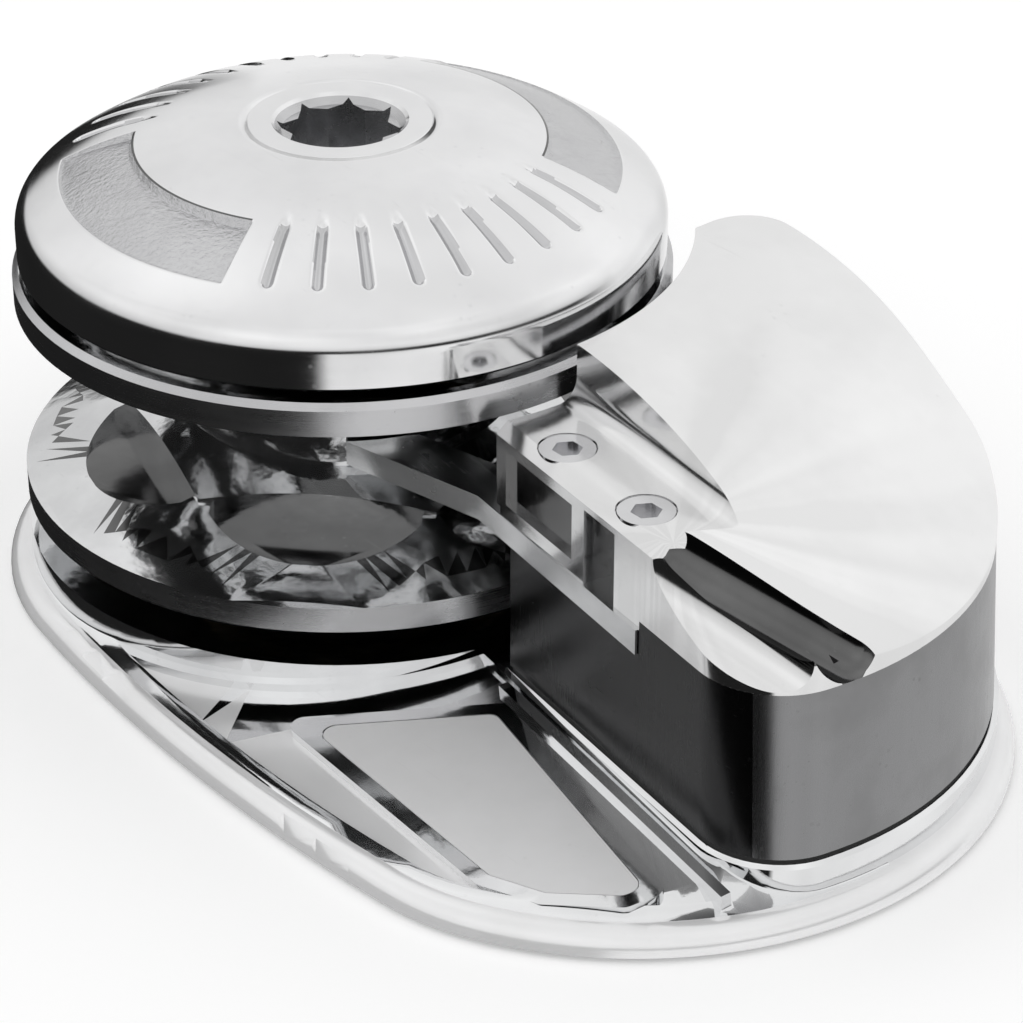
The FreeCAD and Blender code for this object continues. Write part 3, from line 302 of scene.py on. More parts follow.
class Grain(Enum):
    """Which fine lines a finish carries."""
    NONE = "none"
    TURNED = "turned"
    UPRIGHT = "upright"
    STRAIGHT = "straight"


@dataclass(frozen=True)
class Finish:
    """One surface finish and how it becomes a material."""
    name: str
    colour: tuple[float, float, float]
    # Tone that wear marks blend towards, and on the cover the painted fan reflection too.
    worn_and_shaded: tuple[float, float, float]
    metallic: float = 1.0
    roughness: float = 0.08
    smudge: float = 0.06
    grain: Grain = Grain.NONE
    grain_height: float = 0.0
    grain_turn: float = 0.0
    wave_height: float = 0.0
    pits: float = 0.0
    stipple_height: float = 0.0
    coat: float = 0.0
    # Centre and reach of a painted fan-shaped reflection; zero reach leaves it out.
    painted_fan: tuple[float, float, float] = (0.0, 0.0, 0.0)

    def build(self, groups: Groups) -> bpy.types.Material:
        """Make the material.

        Args:
            groups: the shared shader groups.

        Returns:
            The finished material.
        """
        mat = bpy.data.materials.new(self.name)
        mat.use_nodes = True
        tree = mat.node_tree
        nodes, links = tree.nodes, tree.links
        shader = nodes["Principled BSDF"]
        shader.inputs["Metallic"].default_value = self.metallic
        shader.inputs["Coat Weight"].default_value = self.coat
        shader.inputs["Coat Roughness"].default_value = 0.15
        marks = self._group(nodes, groups.marks)
        tint = nodes.new("ShaderNodeMix")
        tint.data_type = "RGBA"
        tint.inputs["A"].default_value = (*self.colour, 1.0)
        tint.inputs["B"].default_value = (*self.worn_and_shaded, 1.0)
        tones = [(marks.outputs["Smudge"], 0.5), (marks.outputs["Spots"], 0.35),
                 (marks.outputs["Scratches"], 0.3)]
        # Painted reflection: fan-shaped bands darken the colour towards the second tone.
        if self.painted_fan[2]:
            painted_fan = self._group(nodes, groups.painted_fan)
            for name, value in zip(("X", "Y", "Reach"), self.painted_fan):
                painted_fan.inputs[name].default_value = value * MM
            tones.append((painted_fan.outputs["Mask"], 2.2))
        amount = self._sum(nodes, links, tones)
        links.new(amount, tint.inputs["Factor"])
        links.new(tint.outputs["Result"], shader.inputs["Base Color"])
        rough = [(marks.outputs["Smudge"], self.smudge), (marks.outputs["Spots"], self.smudge),
                 (marks.outputs["Scratches"], 0.5 * self.smudge)]
        heights = []
        if self.grain is not Grain.NONE:
            lines = self._lines(nodes, links, groups)
            rough.append((lines.outputs["Mask"], 0.6 * self.smudge))
            heights.append((lines.outputs["Height"], self.grain_height))
        if self.wave_height or self.pits:
            cast = self._group(nodes, groups.cast)
            heights.append((cast.outputs["Wave"], self.wave_height))
            heights.append((cast.outputs["Pits"], -self.pits))
        if self.stipple_height:
            heights.append((self._group(nodes, groups.stipple).outputs["Height"],
                            self.stipple_height))
        total = self._sum(nodes, links, rough, self.roughness)
        links.new(total, shader.inputs["Roughness"])
        if heights:
            bump = nodes.new("ShaderNodeBump")
            bump.inputs["Strength"].default_value = 1.0
            bump.inputs["Distance"].default_value = MM
            links.new(self._sum(nodes, links, heights), bump.inputs["Height"])
            links.new(bump.outputs["Normal"], shader.inputs["Normal"])
        return mat

    def _lines(self, nodes: bpy.types.Nodes, links: bpy.types.NodeLinks,
               groups: Groups) -> bpy.types.Node:
        """Node of the finish's fine lines."""
        if self.grain is Grain.TURNED:
            return self._group(nodes, groups.turned)
        lines = self._group(nodes, groups.straight)
        place = nodes.new("ShaderNodeTexCoord")
        turn = nodes.new("ShaderNodeMapping")
        turn.inputs["Rotation"].default_value = (0.0, 0.0, -math.radians(self.grain_turn))
        if self.grain is Grain.UPRIGHT:
            turn.inputs["Rotation"].default_value = (0.0, math.radians(90.0), 0.0)
        links.new(place.outputs["Object"], turn.inputs["Vector"])
        links.new(turn.outputs[0], lines.inputs["Vector"])
        return lines

    @staticmethod
    def _group(nodes: bpy.types.Nodes, tree: bpy.types.NodeTree) -> bpy.types.Node:
        """Group node of a tree."""
        node = nodes.new("ShaderNodeGroup")
        node.node_tree = tree
        return node

    @staticmethod
    def _sum(nodes: bpy.types.Nodes, links: bpy.types.NodeLinks,
             parts: list[tuple[bpy.types.NodeSocket, float]],
             start: float = 0.0) -> bpy.types.NodeSocket:
        """Weighted sum of sockets.

        Args:
            nodes: the material's nodes.
            links: the material's links.
            parts: each socket with its weight.
            start: number that the sum starts from.

        Returns:
            Socket of the sum.
        """
        total: object = start
        for socket, weight in parts:
            node = nodes.new("ShaderNodeMath")
            node.operation = "MULTIPLY_ADD"
            links.new(socket, node.inputs[0])
            node.inputs[1].default_value = weight
            if isinstance(total, float):
                node.inputs[2].default_value = total
            else:
                links.new(total, node.inputs[2])
            total = node.outputs[0]
        return total


@dataclass
class Finishes:
    """Every finish on the windlass, built once."""
    made: dict[str, bpy.types.Material] = field(default_factory=dict)
    chrome: Finish = Finish("plated_casting", (0.86, 0.865, 0.87), (0.74, 0.74, 0.75),
                            roughness=0.045, smudge=0.05, wave_height=0.05, pits=0.002)
    rim: Finish = Finish("turned_rim", (0.60, 0.60, 0.61), (0.42, 0.42, 0.43),
                         roughness=0.2, smudge=0.1, grain=Grain.TURNED, grain_height=0.004,
                         wave_height=0.03)
    # Painted shade: near-black plating laid on sunk faces, standing in for the shade and dark
    # reflections that fall in recesses.
    painted_shade: Finish = Finish("painted_shade_black", (0.12, 0.12, 0.12), (0.22, 0.22, 0.22),
                            roughness=0.1, smudge=0.08, wave_height=0.06)
    # Painted reflection: a pale, barely metallic copy of the plating, so the lip shows white as
    # a mirror of bright surroundings would.
    lip_sheen: Finish = Finish("lip_painted_sheen", (0.93, 0.93, 0.935), (0.84, 0.84, 0.84),
                         metallic=0.35, roughness=0.16, smudge=0.05, wave_height=0.02)
    slot: Finish = Finish("slot_floor", (0.62, 0.62, 0.63), (0.45, 0.45, 0.45),
                          roughness=0.14, smudge=0.1, wave_height=0.03)
    # Painted shade: near-black satin for the pipe's near, outward faces, which are darker
    # because they mirror the dark low side of the studio.
    pipe_shaded_side: Finish = Finish("satin_painted_shade", (0.045, 0.045, 0.046), (0.07, 0.07, 0.07),
                               roughness=0.22, smudge=0.08, grain=Grain.UPRIGHT,
                               grain_height=0.002, wave_height=0.04)
    cap: Finish = Finish("cap_plating", (0.87, 0.87, 0.875), (0.76, 0.76, 0.77),
                         roughness=0.07, smudge=0.07, grain=Grain.TURNED,
                         grain_height=0.0016, wave_height=0.02)
    stippled: Finish = Finish("stippled_panel", (0.66, 0.66, 0.67), (0.48, 0.48, 0.49),
                              roughness=0.2, smudge=0.1, stipple_height=0.3)
    wheel: Finish = Finish("wheel_plating", (0.78, 0.785, 0.79), (0.55, 0.55, 0.56),
                           roughness=0.07, smudge=0.08, wave_height=0.28, pits=0.005)
    # The cover's fan paints reflection bands round the end of the ledge.
    cover: Finish = Finish("cover_polish", (0.88, 0.88, 0.88), (0.79, 0.79, 0.79),
                           roughness=0.09, smudge=0.06, grain=Grain.STRAIGHT,
                           grain_height=0.0012, grain_turn=20.0, wave_height=0.01,
                           painted_fan=(119.0, -20.0, 95.0))
    pipe: Finish = Finish("satin_grey", (0.29, 0.29, 0.295), (0.19, 0.19, 0.19),
                          roughness=0.24, smudge=0.08, grain=Grain.UPRIGHT,
                          grain_height=0.003, wave_height=0.05)
    stripper: Finish = Finish("ground_plate", (0.66, 0.665, 0.67), (0.5, 0.5, 0.5),
                              roughness=0.16, smudge=0.1, grain=Grain.STRAIGHT,
                              grain_height=0.003, grain_turn=-8.5)
    badge: Finish = Finish("satin_badge", (0.84, 0.84, 0.845), (0.74, 0.74, 0.74),
                           metallic=0.2, roughness=0.4, smudge=0.06, grain=Grain.STRAIGHT,
                           grain_height=0.003, grain_turn=-8.5)
    screw: Finish = Finish("machined_screw", (0.74, 0.74, 0.75), (0.5, 0.5, 0.5),
                           roughness=0.12, smudge=0.12, wave_height=0.004)
    socket: Finish = Finish("socket_steel", (0.62, 0.62, 0.63), (0.36, 0.36, 0.36),
                            roughness=0.14, smudge=0.14, grain=Grain.TURNED,
                            grain_height=0.002)
    shaft: Finish = Finish("ground_shaft", (0.58, 0.59, 0.6), (0.4, 0.4, 0.4),
                           roughness=0.2, smudge=0.12, grain=Grain.TURNED, grain_height=0.003)
    bronze: Finish = Finish("turned_bronze", (0.6, 0.4, 0.2), (0.34, 0.2, 0.09),
                            roughness=0.28, smudge=0.16, grain=Grain.TURNED,
                            grain_height=0.004)
    rubber: Finish = Finish("black_rubber", (0.02, 0.02, 0.02), (0.045, 0.045, 0.045),
                            metallic=0.0, roughness=0.7, smudge=0.15, stipple_height=0.03)

    def get(self, finish: Finish, groups: Groups) -> bpy.types.Material:
        """Material of a finish, built the first time it is asked for."""
        if finish.name not in self.made:
            self.made[finish.name] = finish.build(groups)
        return self.made[finish.name]


# ---------------------------------------------------------------- mesh helpers

def welded(node: bpy.types.Object, name: str, angle: float = 28.0) -> bpy.types.Object:
    """Smooth, welded copy of a frame node's mesh.

    Args:
        node: the frame's own object.
        name: name of the copy.
        angle: corners sharper than this many degrees stay crisp.

    Returns:
        The new object, already in the scene.
    """
    mesh = node.data.copy()
    mesh.name = name
    bm = bmesh.new()
    bm.from_mesh(mesh)
    bmesh.ops.remove_doubles(bm, verts=bm.verts, dist=0.004 * MM)
    bmesh.ops.dissolve_degenerate(bm, dist=0.001 * MM, edges=bm.edges)
    limit = math.radians(angle)
    for face in bm.faces:
        face.smooth = True
    for edge in bm.edges:
        edge.smooth = edge.is_manifold and edge.calc_face_angle(0.0) < limit
    bm.to_mesh(mesh)
    bm.free()
    made = bpy.data.objects.new(name, mesh)
    bpy.context.scene.collection.objects.link(made)
    return made


class Workshop:
    """What every sub-assembly needs: the frame, the finishes and the shader groups."""

    def __init__(self, frame: dict) -> None:
        """Keep the frame and make the finishes."""
        self.frame = frame
        self.groups = Groups()
        self.finishes = Finishes()
        self.slot_of = {part["node"]: part["material_slot"]
                        for part in frame["record"]["subparts"]}

    def dress(self, piece: bpy.types.Object, finish: Finish) -> None:
        """Give a piece one finish all over."""
        piece.data.materials.clear()
        piece.data.materials.append(self.finishes.get(finish, self.groups))

    def touch_up(self, piece: bpy.types.Object, finish: Finish,
                 picked: Callable[[Vector, Vector], bool]) -> None:
        """Give some of a piece's faces a second finish.

        Args:
            piece: the piece, already dressed.
            finish: finish of the picked faces.
            picked: says yes for a face's centre in millimetres and its normal.
        """
        piece.data.materials.append(self.finishes.get(finish, self.groups))
        index = len(piece.data.materials) - 1
        for face in piece.data.polygons:
            if picked(face.center / MM, face.normal):
                face.material_index = index

    def stand_in(self, node: str, finish: Finish, body: Deck,
                 angle: float = 28.0) -> bpy.types.Object:
        """Smooth dressed copy that shows in place of a node.

        Args:
            node: name of the frame node.
            finish: its finish.
            body: the body it rides on.
            angle: corners sharper than this stay crisp.

        Returns:
            The copy.
        """
        made = welded(self.frame["nodes"][node], "fine_" + node, angle)
        self.dress(made, finish)
        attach(made, body.value)
        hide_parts(node)
        LOG.info("%s: %d faces", made.name, len(made.data.polygons))
        return made


# ---------------------------------------------------------------- sub-assemblies

@dataclass
class DeckUnit:
    """Base casting, gasket, badge and the bushes in the hub."""
    shop: Workshop
    lip_top: float = 5.5
    lip_slack: float = 0.02
    lip_facing: float = -0.3
    wheel_reach: float = 64.6
    boss_inset: float = 0.7

    def _on_lip(self, centre: Vector, normal: Vector) -> bool:
        """Faces of the rounded lip round the base's foot."""
        return (centre.z < self.lip_top + self.lip_slack and normal.z > self.lip_facing
                and self._outside(centre))

    def _outside(self, centre: Vector) -> bool:
        """Whether a place is beyond the round boss under the wheel."""
        return math.hypot(centre.x, centre.y) > self.wheel_reach - self.boss_inset

    def build(self) -> None:
        """Dress every piece that stays on the deck."""
        marks = self.shop.finishes
        base = self.shop.stand_in("base_casting", marks.chrome, Deck.UNIT)
        # Painted reflection: the lip's faces get the pale, barely metallic finish.
        self.shop.touch_up(base, marks.lip_sheen, self._on_lip)
        self.shop.stand_in("badge_plate", marks.badge, Deck.UNIT)
        self.shop.stand_in("deck_gasket", marks.rubber, Deck.UNIT)
        for node, finish in (("lower_bush", marks.bronze), ("upper_bush", marks.bronze),
                             ("shaft_seal", marks.rubber), ("thrust_washer", marks.bronze)):
            self.shop.stand_in(node, finish, Deck.UNIT)


@dataclass
class ChainPipe:
    """Grey pipe wall, polished cover, stripper plate and their screws."""
    shop: Workshop
    face_turn: float = -8.5
    face_corner: tuple[float, float] = (71.53, -16.9)
    sunk_depth: tuple[float, float] = (0.8, 12.0)
    sunk_end: float = 40.0
    sunk_top: float = 60.0
    scoop_from: tuple[float, float, float] = (54.0, 1.0, 63.65)
    scoop_to: tuple[float, float, float] = (78.0, 20.0, 50.9)
    scoop_radius: float = 5.6
    scoop_slack: float = 0.25

    def _inward(self) -> Vector:
        """Direction from the near side into the pipe."""
        turn = math.radians(self.face_turn)
        return Vector((-math.sin(turn), math.cos(turn), 0.0))

    def _along(self) -> Vector:
        """Direction along the near side."""
        turn = math.radians(self.face_turn)
        return Vector((math.cos(turn), math.sin(turn), 0.0))

    def _near(self, spot: tuple[float, float, float]) -> Vector:
        """Place from a distance along the near side, one inwards and a height."""
        return (Vector((*self.face_corner, spot[2])) + self._along() * spot[0]
                + self._inward() * spot[1])

    def _sunk(self, centre: Vector, normal: Vector) -> bool:
        """Faces set back from the cover's near side, and the inner scoop's hollow; they get
        painted shade.
        """
        start = Vector((*self.face_corner, 0.0))
        depth = (centre - start).dot(self._inward())
        shallow, deep = self.sunk_depth
        if (normal.dot(self._inward()) < -0.9 and shallow < depth < deep
                and (centre - start).dot(self._along()) < self.sunk_end
                and centre.z < self.sunk_top):
            return True
        first, last = self._near(self.scoop_from), self._near(self.scoop_to)
        axis = last - first
        share = min(max((centre - first).dot(axis) / axis.length_squared, 0.0), 1.0)
        away = (centre - first - axis * share).length
        return abs(away - self.scoop_radius) < self.scoop_slack

    def build(self) -> None:
        """Dress the pipe's pieces."""
        marks = self.shop.finishes
        pipe = self.shop.stand_in("chain_pipe", marks.pipe, Deck.UNIT)
        # Painted shade: the pipe's near, outward-facing faces get the near-black satin.
        self.shop.touch_up(pipe, marks.pipe_shaded_side,
                           lambda c, n: n.dot(self._inward()) < -0.75 and n.z < 0.5)
        cover = self.shop.stand_in("pipe_cover", marks.cover, Deck.UNIT)
        # Painted shade on the cover's sunk faces and the scoop's hollow.
        self.shop.touch_up(cover, marks.painted_shade, self._sunk)
        self.shop.stand_in("stripper_plate", marks.stripper, Deck.UNIT)
        for node, finish in (("cover_screws", marks.screw), ("cover_side_screw", marks.screw),
                             ("pipe_screws", marks.screw), ("pipe_gasket", marks.rubber)):
            self.shop.stand_in(node, finish, Deck.UNIT)


@dataclass
class WheelAndShaft:
    """Chain wheel, shaft and the clutch between them."""
    shop: Workshop
    rim_from: float = 63.0
    band_inset: float = 1.0
    top: float = 67.1
    bevel: float = 1.3
    pocket_floor: float = 27.05
    floor_slack: float = 0.3

    def _on_rim(self, centre: Vector, normal: Vector) -> bool:
        """Faces of the turned rim bands and of the bevel beside the cap."""
        radius = math.hypot(centre.x, centre.y)
        band = abs(normal.z) < 0.2 and radius > self.rim_from + self.band_inset
        return band or (radius > self.rim_from and centre.z > self.top - self.bevel)

    def build(self) -> None:
        """Dress the wheel and what turns with it."""
        marks = self.shop.finishes
        wheel = self.shop.stand_in("chain_wheel", marks.wheel, Deck.WHEEL)
        self.shop.touch_up(wheel, marks.rim, self._on_rim)
        # Painted shade on the flat floors of the wheel's pockets.
        self.shop.touch_up(
            wheel, marks.painted_shade,
            lambda c, n: n.z > 0.9 and abs(c.z - self.pocket_floor) < self.floor_slack)
        self.shop.stand_in("wheel_bush", marks.bronze, Deck.WHEEL)
        for node, finish in (("main_shaft", marks.shaft), ("retaining_ring", marks.shaft),
                             ("stop_ring", marks.shaft), ("cone_keys", marks.shaft),
                             ("lower_cone", marks.bronze)):
            self.shop.stand_in(node, finish, Deck.SHAFT)
        for node in ("upper_cone", "cap_washer"):
            self.shop.stand_in(node, marks.bronze, Deck.CONE)


@dataclass(frozen=True)
class Slots:
    """Row of round-bottomed grip slots, in millimetres and degrees."""
    start: float
    count: int
    pitch: float = 10.0
    inner: float = 40.5
    outer: float = 52.8
    half_width: float = 1.35
    depth: float = 1.15

    def depth_at(self, radius: float, angle: float) -> float:
        """Depth of the row's slots at a radius and an angle."""
        step = round(((angle - self.start + 180.0) % 360.0 - 180.0) / self.pitch)
        if not 0 <= step < self.count:
            return 0.0
        off = math.radians((angle - self.start - step * self.pitch + 180.0) % 360.0 - 180.0)
        past = max(self.inner - radius, radius - self.outer, 0.0)
        away = math.hypot(radius * math.sin(off), past)
        if away >= self.half_width:
            return 0.0
        return self.depth * math.cos(away / self.half_width * math.pi / 2) ** 1.2


@dataclass(frozen=True)
class Panel:
    """Sunk arc on the dome, deep along its inner side, in millimetres and degrees."""
    start: float
    sweep: float
    inner: float = 40.2
    outer: float = 54.2
    deep: float = 1.5
    shallow: float = 0.35

    def depth_at(self, radius: float, angle: float) -> float:
        """Depth of the panel at a radius and an angle."""
        if (angle - self.start) % 360.0 > self.sweep or not self.inner < radius < self.outer:
            return 0.0
        share = (radius - self.inner) / (self.outer - self.inner)
        return self.deep + (self.shallow - self.deep) * share


@dataclass
class ClutchCap:
    """Domed cap with its grip slots, stippled panels and handle socket."""
    shop: Workshop
    steps: int = 960
    socket_radius: float = 18.1
    socket_floor: float = 80.99
    stop_bore: float = 16.0
    nut_radius: float = 20.0
    nut_top: float = 74.2
    hub_radius: float = 27.0
    foot: float = 69.0
    wall: float = 5.0
    radius: float = 63.4
    bevel: float = 0.8
    shoulder: float = 6.5
    rim: float = 79.0
    rise: float = 15.8
    rise_midway: float = 0.75
    skin: float = 1.7
    slot_edge: float = 0.25
    crisp: float = 40.0
    shoulder_steps: int = 10
    roof_steps: int = 6
    rows: tuple[Slots, ...] = (Slots(-52.0, 9), Slots(128.0, 10))
    panels: tuple[Panel, ...] = (Panel(37.0, 82.0), Panel(227.0, 72.0))
    coarse: float = 1.8
    fine: float = 0.42

    def build(self) -> None:
        """Dress the cap's pieces."""
        marks = self.shop.finishes
        self._dome()
        self.shop.stand_in("cap_nut", marks.bronze, Deck.CAP)
        socket = self.shop.stand_in("handle_socket", marks.socket, Deck.CAP)
        self.shop.touch_up(socket, marks.cap, lambda c, n: n.z > 0.5 and c.z > self.crown - 0.6
                           and math.hypot(c.x, c.y) > 0.7 * self.socket_radius)

    @property
    def crown(self) -> float:
        """Height of the dome's top."""
        return self.rim + self.rise

    def _arc(self) -> tuple[Vector, float]:
        """Centre (radius, height) and radius of the dome's section."""
        a = Vector((self.socket_radius, self.crown))
        c = Vector((self.radius, self.rim))
        b = Vector(((a.x + c.x) / 2, self.rim + self.rise_midway * self.rise))
        turn = 2 * (a.x * (b.y - c.y) + b.x * (c.y - a.y) + c.x * (a.y - b.y))
        x = (a.dot(a) * (b.y - c.y) + b.dot(b) * (c.y - a.y) + c.dot(c) * (a.y - b.y)) / turn
        y = (a.dot(a) * (c.x - b.x) + b.dot(b) * (a.x - c.x) + c.dot(c) * (b.x - a.x)) / turn
        centre = Vector((x, y))
        return centre, (a - centre).length

    def _section(self) -> list[tuple[float, float]]:
        """Closed section of the cap as (radius, height) points, without the sunk parts."""
        centre, bend = self._arc()
        round_x = self.radius - self.shoulder
        reach = bend - self.shoulder
        round_z = centre.y + math.sqrt(reach ** 2 - (round_x - centre.x) ** 2)
        lean = math.atan2(round_x - centre.x, round_z - centre.y)
        meet = centre.x + bend * math.sin(lean)
        points = [(self.socket_radius, self.socket_floor)]
        spot = self.socket_radius
        while spot < meet - self.fine:
            points.append((spot, centre.y + math.sqrt(bend ** 2 - (spot - centre.x) ** 2)))
            near = self.panels[0].inner - 2 < spot < self.panels[0].outer + 1
            spot += self.fine if near else self.coarse
        for i in range(self.shoulder_steps + 1):
            turn = lean + (math.pi / 2 - lean) * i / self.shoulder_steps
            points.append((round_x + self.shoulder * math.sin(turn),
                           round_z + self.shoulder * math.cos(turn)))
        inner = self.radius - self.wall
        points += [(self.radius, self.foot + self.bevel), (self.radius - self.bevel, self.foot),
                   (inner, self.foot), (inner, self.rim - self.wall)]
        for i in range(1, self.roof_steps + 1):
            spot = inner + (self.hub_radius - inner) * i / self.roof_steps
            height = centre.y + math.sqrt(bend ** 2 - (spot - centre.x) ** 2) - self.wall
            points.append((spot, min(height, self.crown - self.wall)))
        points += [(self.hub_radius, self.foot), (self.nut_radius, self.foot),
                   (self.nut_radius, self.nut_top), (self.stop_bore, self.nut_top),
                   (self.stop_bore, self.socket_floor)]
        return points

    def _sink(self, radius: float, angle: float) -> float:
        """How far the dome is sunk at a radius and an angle."""
        return max(part.depth_at(radius, angle) for part in self.rows + self.panels)

    def _floor_kind(self, radius: float, angle: float) -> int:
        """Material index of the dome at a place: plain, panel, slot, or the panel's inner wall
        with painted shade.
        """
        for part in self.panels:
            if part.depth_at(radius, angle) > 0.0:
                return 1
            if part.depth_at(radius + 2 * self.fine, angle) > 0.0:
                return 3
        deepest = max(part.depth_at(radius, angle) for part in self.rows)
        return 2 if deepest > self.slot_edge else 0

    def _dome(self) -> None:
        """Turned cap with round-bottomed slots and stippled panel floors."""
        section = self._section()
        mesh = bpy.data.meshes.new("cap_dome")
        bm = bmesh.new()
        verts = [bm.verts.new((r * MM, 0.0, z * MM)) for r, z in section]
        edges = [bm.edges.new((a, b)) for a, b in zip(verts, verts[1:] + verts[:1])]
        bmesh.ops.spin(bm, geom=verts + edges, cent=(0, 0, 0), axis=(0, 0, 1), dvec=(0, 0, 0),
                       angle=2 * math.pi, steps=self.steps, use_merge=True,
                       use_duplicate=False)
        bmesh.ops.recalc_face_normals(bm, faces=bm.faces)
        for vert in bm.verts:
            radius = math.hypot(vert.co.x, vert.co.y) / MM
            if vert.co.z / MM > self.rim and radius > self.hub_radius + self.coarse:
                if vert.normal.z >= 0 and self._is_top(radius, vert.co.z / MM):
                    angle = math.degrees(math.atan2(vert.co.y, vert.co.x))
                    vert.co.z -= self._sink(radius, angle) * MM
        for face in bm.faces:
            face.smooth = True
            middle = face.calc_center_median() / MM
            radius = math.hypot(middle.x, middle.y)
            angle = math.degrees(math.atan2(middle.y, middle.x))
            if self._is_top(radius, middle.z + 1.6) or self._is_top(radius, middle.z):
                face.material_index = self._floor_kind(radius, angle)
        limit = math.radians(self.crisp)
        for edge in bm.edges:
            low = max(v.co.z for v in edge.verts) / MM < self.rim - self.shoulder
            edge.smooth = edge.calc_face_angle(0.0) < limit or not low
        bm.to_mesh(mesh)
        bm.free()
        dome = bpy.data.objects.new("cap_dome", mesh)
        bpy.context.scene.collection.objects.link(dome)
        marks = self.shop.finishes
        # The fourth finish is painted shade, for the panels' inner walls.
        for finish in (marks.cap, marks.stippled, marks.slot, marks.painted_shade):
            mesh.materials.append(marks.get(finish, self.shop.groups))
        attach(dome, Deck.CAP.value)
        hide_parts("clutch_cap")
        LOG.info("cap_dome: %d faces", len(mesh.polygons))

    def _is_top(self, radius: float, height: float) -> bool:
        """Whether a place lies on or near the dome's outer face."""
        if not self.socket_radius < radius < self.radius:
            return False
        centre, bend = self._arc()
        top = centre.y + math.sqrt(bend ** 2 - (radius - centre.x) ** 2)
        return top - self.skin < height < top + self.skin


# ---------------------------------------------------------------- studio

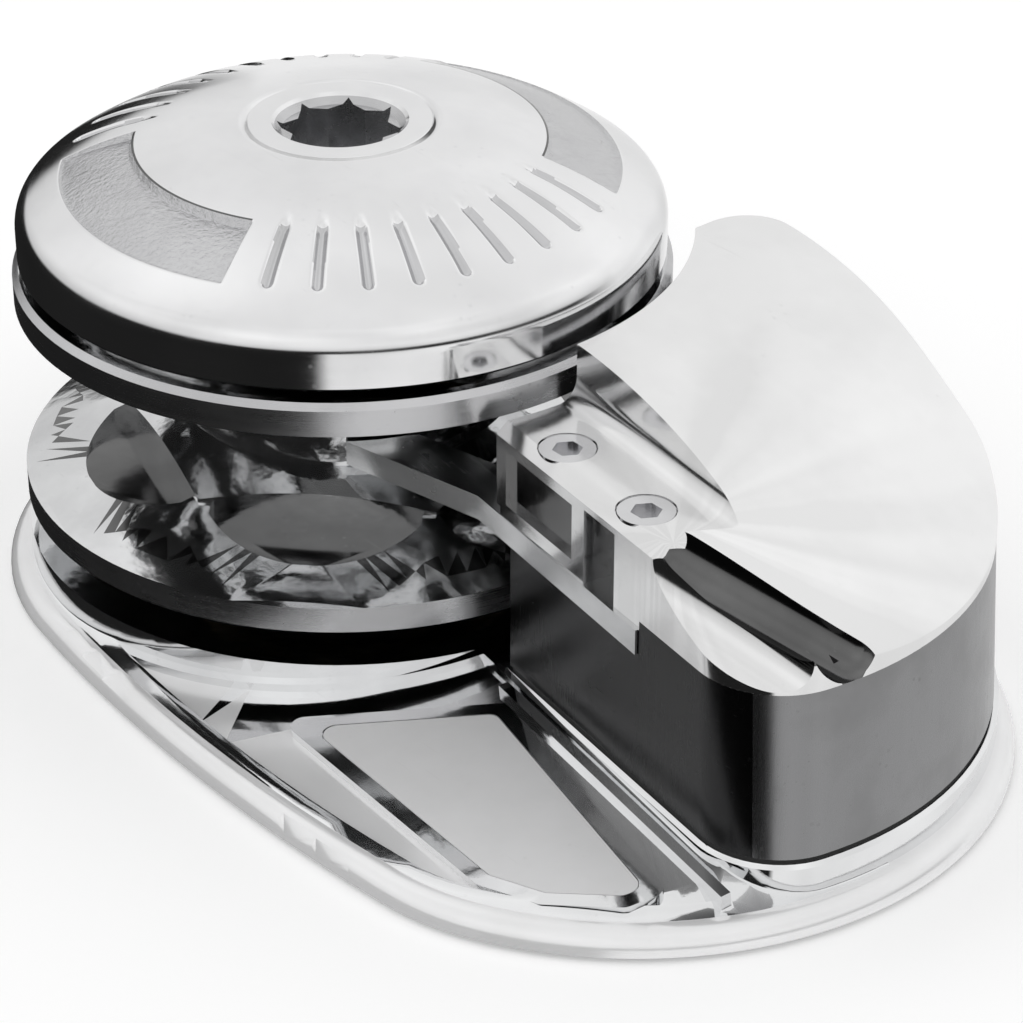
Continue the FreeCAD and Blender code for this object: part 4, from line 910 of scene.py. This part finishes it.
@dataclass
class Studio:
    """Pale floor, soft surrounding light and the camera.

    Tones run from 0 (black) to 1 (white). The light from above is a ramp of tones over the
    height of a direction. Low down, the side facing bright_azimuth is lit below the horizon,
    and above it only towards far_azimuth.
    """
    floor_size: float = 8.0
    floor_tone: float = 0.93
    floor_glow: float = 0.2
    horizon: tuple[float, float] = (0.03, 0.015)
    tones: tuple[tuple[float, float], ...] = ((0.11, 0.72), (0.3, 0.86), (0.6, 0.97))
    bright_azimuth: float = 52.5
    bright_span: tuple[float, float] = (-0.16, -0.08)
    below_span: tuple[float, float] = (-0.06, -0.14)
    far_azimuth: float = 108.0
    far_span: tuple[float, float] = (0.45, 0.75)
    low_tone: float = 0.92
    cloud_scale: float = 1.6
    cloud_tones: tuple[float, float] = (0.84, 1.06)
    lens: float = 124.19
    eye: tuple[float, float, float] = (0.5008, -0.3730, 0.3704)
    aim: tuple[float, float, float] = (-0.665, 0.5521, -0.5029)

    def build(self) -> None:
        """Make floor, light and camera."""
        self._floor()
        self._sky()
        self._camera()
        view = bpy.context.scene.view_settings
        view.view_transform = "Standard"
        view.look = "None"

    def _floor(self) -> None:
        """Matt white floor that polished metal doesn't mirror."""
        mesh = bpy.data.meshes.new("studio_floor")
        bm = bmesh.new()
        bmesh.ops.create_grid(bm, x_segments=1, y_segments=1, size=self.floor_size / 2)
        bm.to_mesh(mesh)
        bm.free()
        floor = bpy.data.objects.new("studio_floor", mesh)
        bpy.context.scene.collection.objects.link(floor)
        mat = bpy.data.materials.new("floor_paper")
        mat.use_nodes = True
        shader = mat.node_tree.nodes["Principled BSDF"]
        shader.inputs["Base Color"].default_value = (*[self.floor_tone] * 3, 1.0)
        shader.inputs["Roughness"].default_value = 0.9
        shader.inputs["Specular IOR Level"].default_value = 0.0
        shader.inputs["Emission Color"].default_value = (1.0, 1.0, 1.0, 1.0)
        shader.inputs["Emission Strength"].default_value = self.floor_glow
        mesh.materials.append(mat)
        floor.visible_glossy = False
        floor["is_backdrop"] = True

    def _sky(self) -> None:
        """Soft light from all round: bright above, one dark side low down."""
        world = bpy.data.worlds.new("soft_studio")
        bpy.context.scene.world = world
        world.use_nodes = True
        tree = world.node_tree
        nodes, links = tree.nodes, tree.links
        back = nodes["Background"]
        place = nodes.new("ShaderNodeTexCoord")
        way = place.outputs["Generated"]
        split = nodes.new("ShaderNodeSeparateXYZ")
        links.new(way, split.inputs[0])
        height = split.outputs["Z"]
        above = nodes.new("ShaderNodeValToRGB")
        ramp = above.color_ramp
        spot, tone = self.horizon
        ramp.elements[0].position = spot
        ramp.elements[0].color = (tone, tone, tone, 1)
        ramp.elements[1].position = 1.0
        ramp.elements[1].color = (1.0, 1.0, 1.01, 1)
        for spot, tone in self.tones:
            stop = ramp.elements.new(spot)
            stop.color = (tone, tone, tone, 1)
        links.new(height, above.inputs["Fac"])
        bright = self._facing(nodes, links, way, self.bright_azimuth, self.bright_span)
        below = self._range(nodes, links, height, self.below_span)
        far = self._facing(nodes, links, way, self.far_azimuth, self.far_span)
        open_far = self._math(nodes, links, "MAXIMUM", below, far)
        low = self._math(nodes, links, "MULTIPLY", bright, open_far)
        soft = nodes.new("ShaderNodeTexNoise")
        soft.inputs["Scale"].default_value = self.cloud_scale
        soft.inputs["Detail"].default_value = 1.0
        links.new(way, soft.inputs["Vector"])
        cloud = self._range(nodes, links, soft.outputs["Fac"], (0.3, 0.7), self.cloud_tones)
        low = self._math(nodes, links, "MULTIPLY", low, self.low_tone)
        total = self._math(nodes, links, "MAXIMUM", above.outputs["Color"], low)
        total = self._math(nodes, links, "MULTIPLY", total, cloud)
        links.new(total, back.inputs["Color"])
        back.inputs["Strength"].default_value = 1.0

    @staticmethod
    def _math(nodes: bpy.types.Nodes, links: bpy.types.NodeLinks, operation: str,
              first: bpy.types.NodeSocket, second: object) -> bpy.types.NodeSocket:
        """Math node over a socket and a socket or number."""
        node = nodes.new("ShaderNodeMath")
        node.operation = operation
        links.new(first, node.inputs[0])
        if isinstance(second, float):
            node.inputs[1].default_value = second
        else:
            links.new(second, node.inputs[1])
        return node.outputs[0]

    @staticmethod
    def _range(nodes: bpy.types.Nodes, links: bpy.types.NodeLinks,
               value: bpy.types.NodeSocket, span: tuple[float, float],
               to: tuple[float, float] = (0.0, 1.0)) -> bpy.types.NodeSocket:
        """Map a span of values onto another, clamped."""
        node = nodes.new("ShaderNodeMapRange")
        node.inputs["From Min"].default_value = span[0]
        node.inputs["From Max"].default_value = span[1]
        node.inputs["To Min"].default_value = to[0]
        node.inputs["To Max"].default_value = to[1]
        links.new(value, node.inputs["Value"])
        return node.outputs["Result"]

    def _facing(self, nodes: bpy.types.Nodes, links: bpy.types.NodeLinks,
                way: bpy.types.NodeSocket, azimuth: float,
                span: tuple[float, float]) -> bpy.types.NodeSocket:
        """Mask that grows as a direction turns towards an azimuth."""
        side = nodes.new("ShaderNodeVectorMath")
        side.operation = "DOT_PRODUCT"
        turn = math.radians(azimuth)
        side.inputs[1].default_value = (math.cos(turn), math.sin(turn), 0.0)
        links.new(way, side.inputs[0])
        return self._range(nodes, links, side.outputs["Value"], span)

    def _camera(self) -> None:
        """Camera at the viewing angle."""
        data = bpy.data.cameras.new("eye")
        data.lens = self.lens
        data.sensor_width = 36.0
        data.clip_start = 0.01
        camera = bpy.data.objects.new("eye", data)
        bpy.context.scene.collection.objects.link(camera)
        camera.location = self.eye
        camera.rotation_euler = Vector(self.aim).to_track_quat("-Z", "Y").to_euler()
        bpy.context.scene.camera = camera


def main(frame: dict, cad_box: object) -> None:
    """Build the studio and every sub-assembly in order.
    """
    logging.basicConfig(level=logging.INFO, format="%(name)s %(message)s")
    shop = Workshop(frame)
    Studio().build()
    for part in (DeckUnit(shop), ChainPipe(shop), WheelAndShaft(shop), ClutchCap(shop)):
        LOG.info("building %s", type(part).__name__)
        part.build()


if __name__ == "__main__":
    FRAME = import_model()
    main(FRAME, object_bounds())
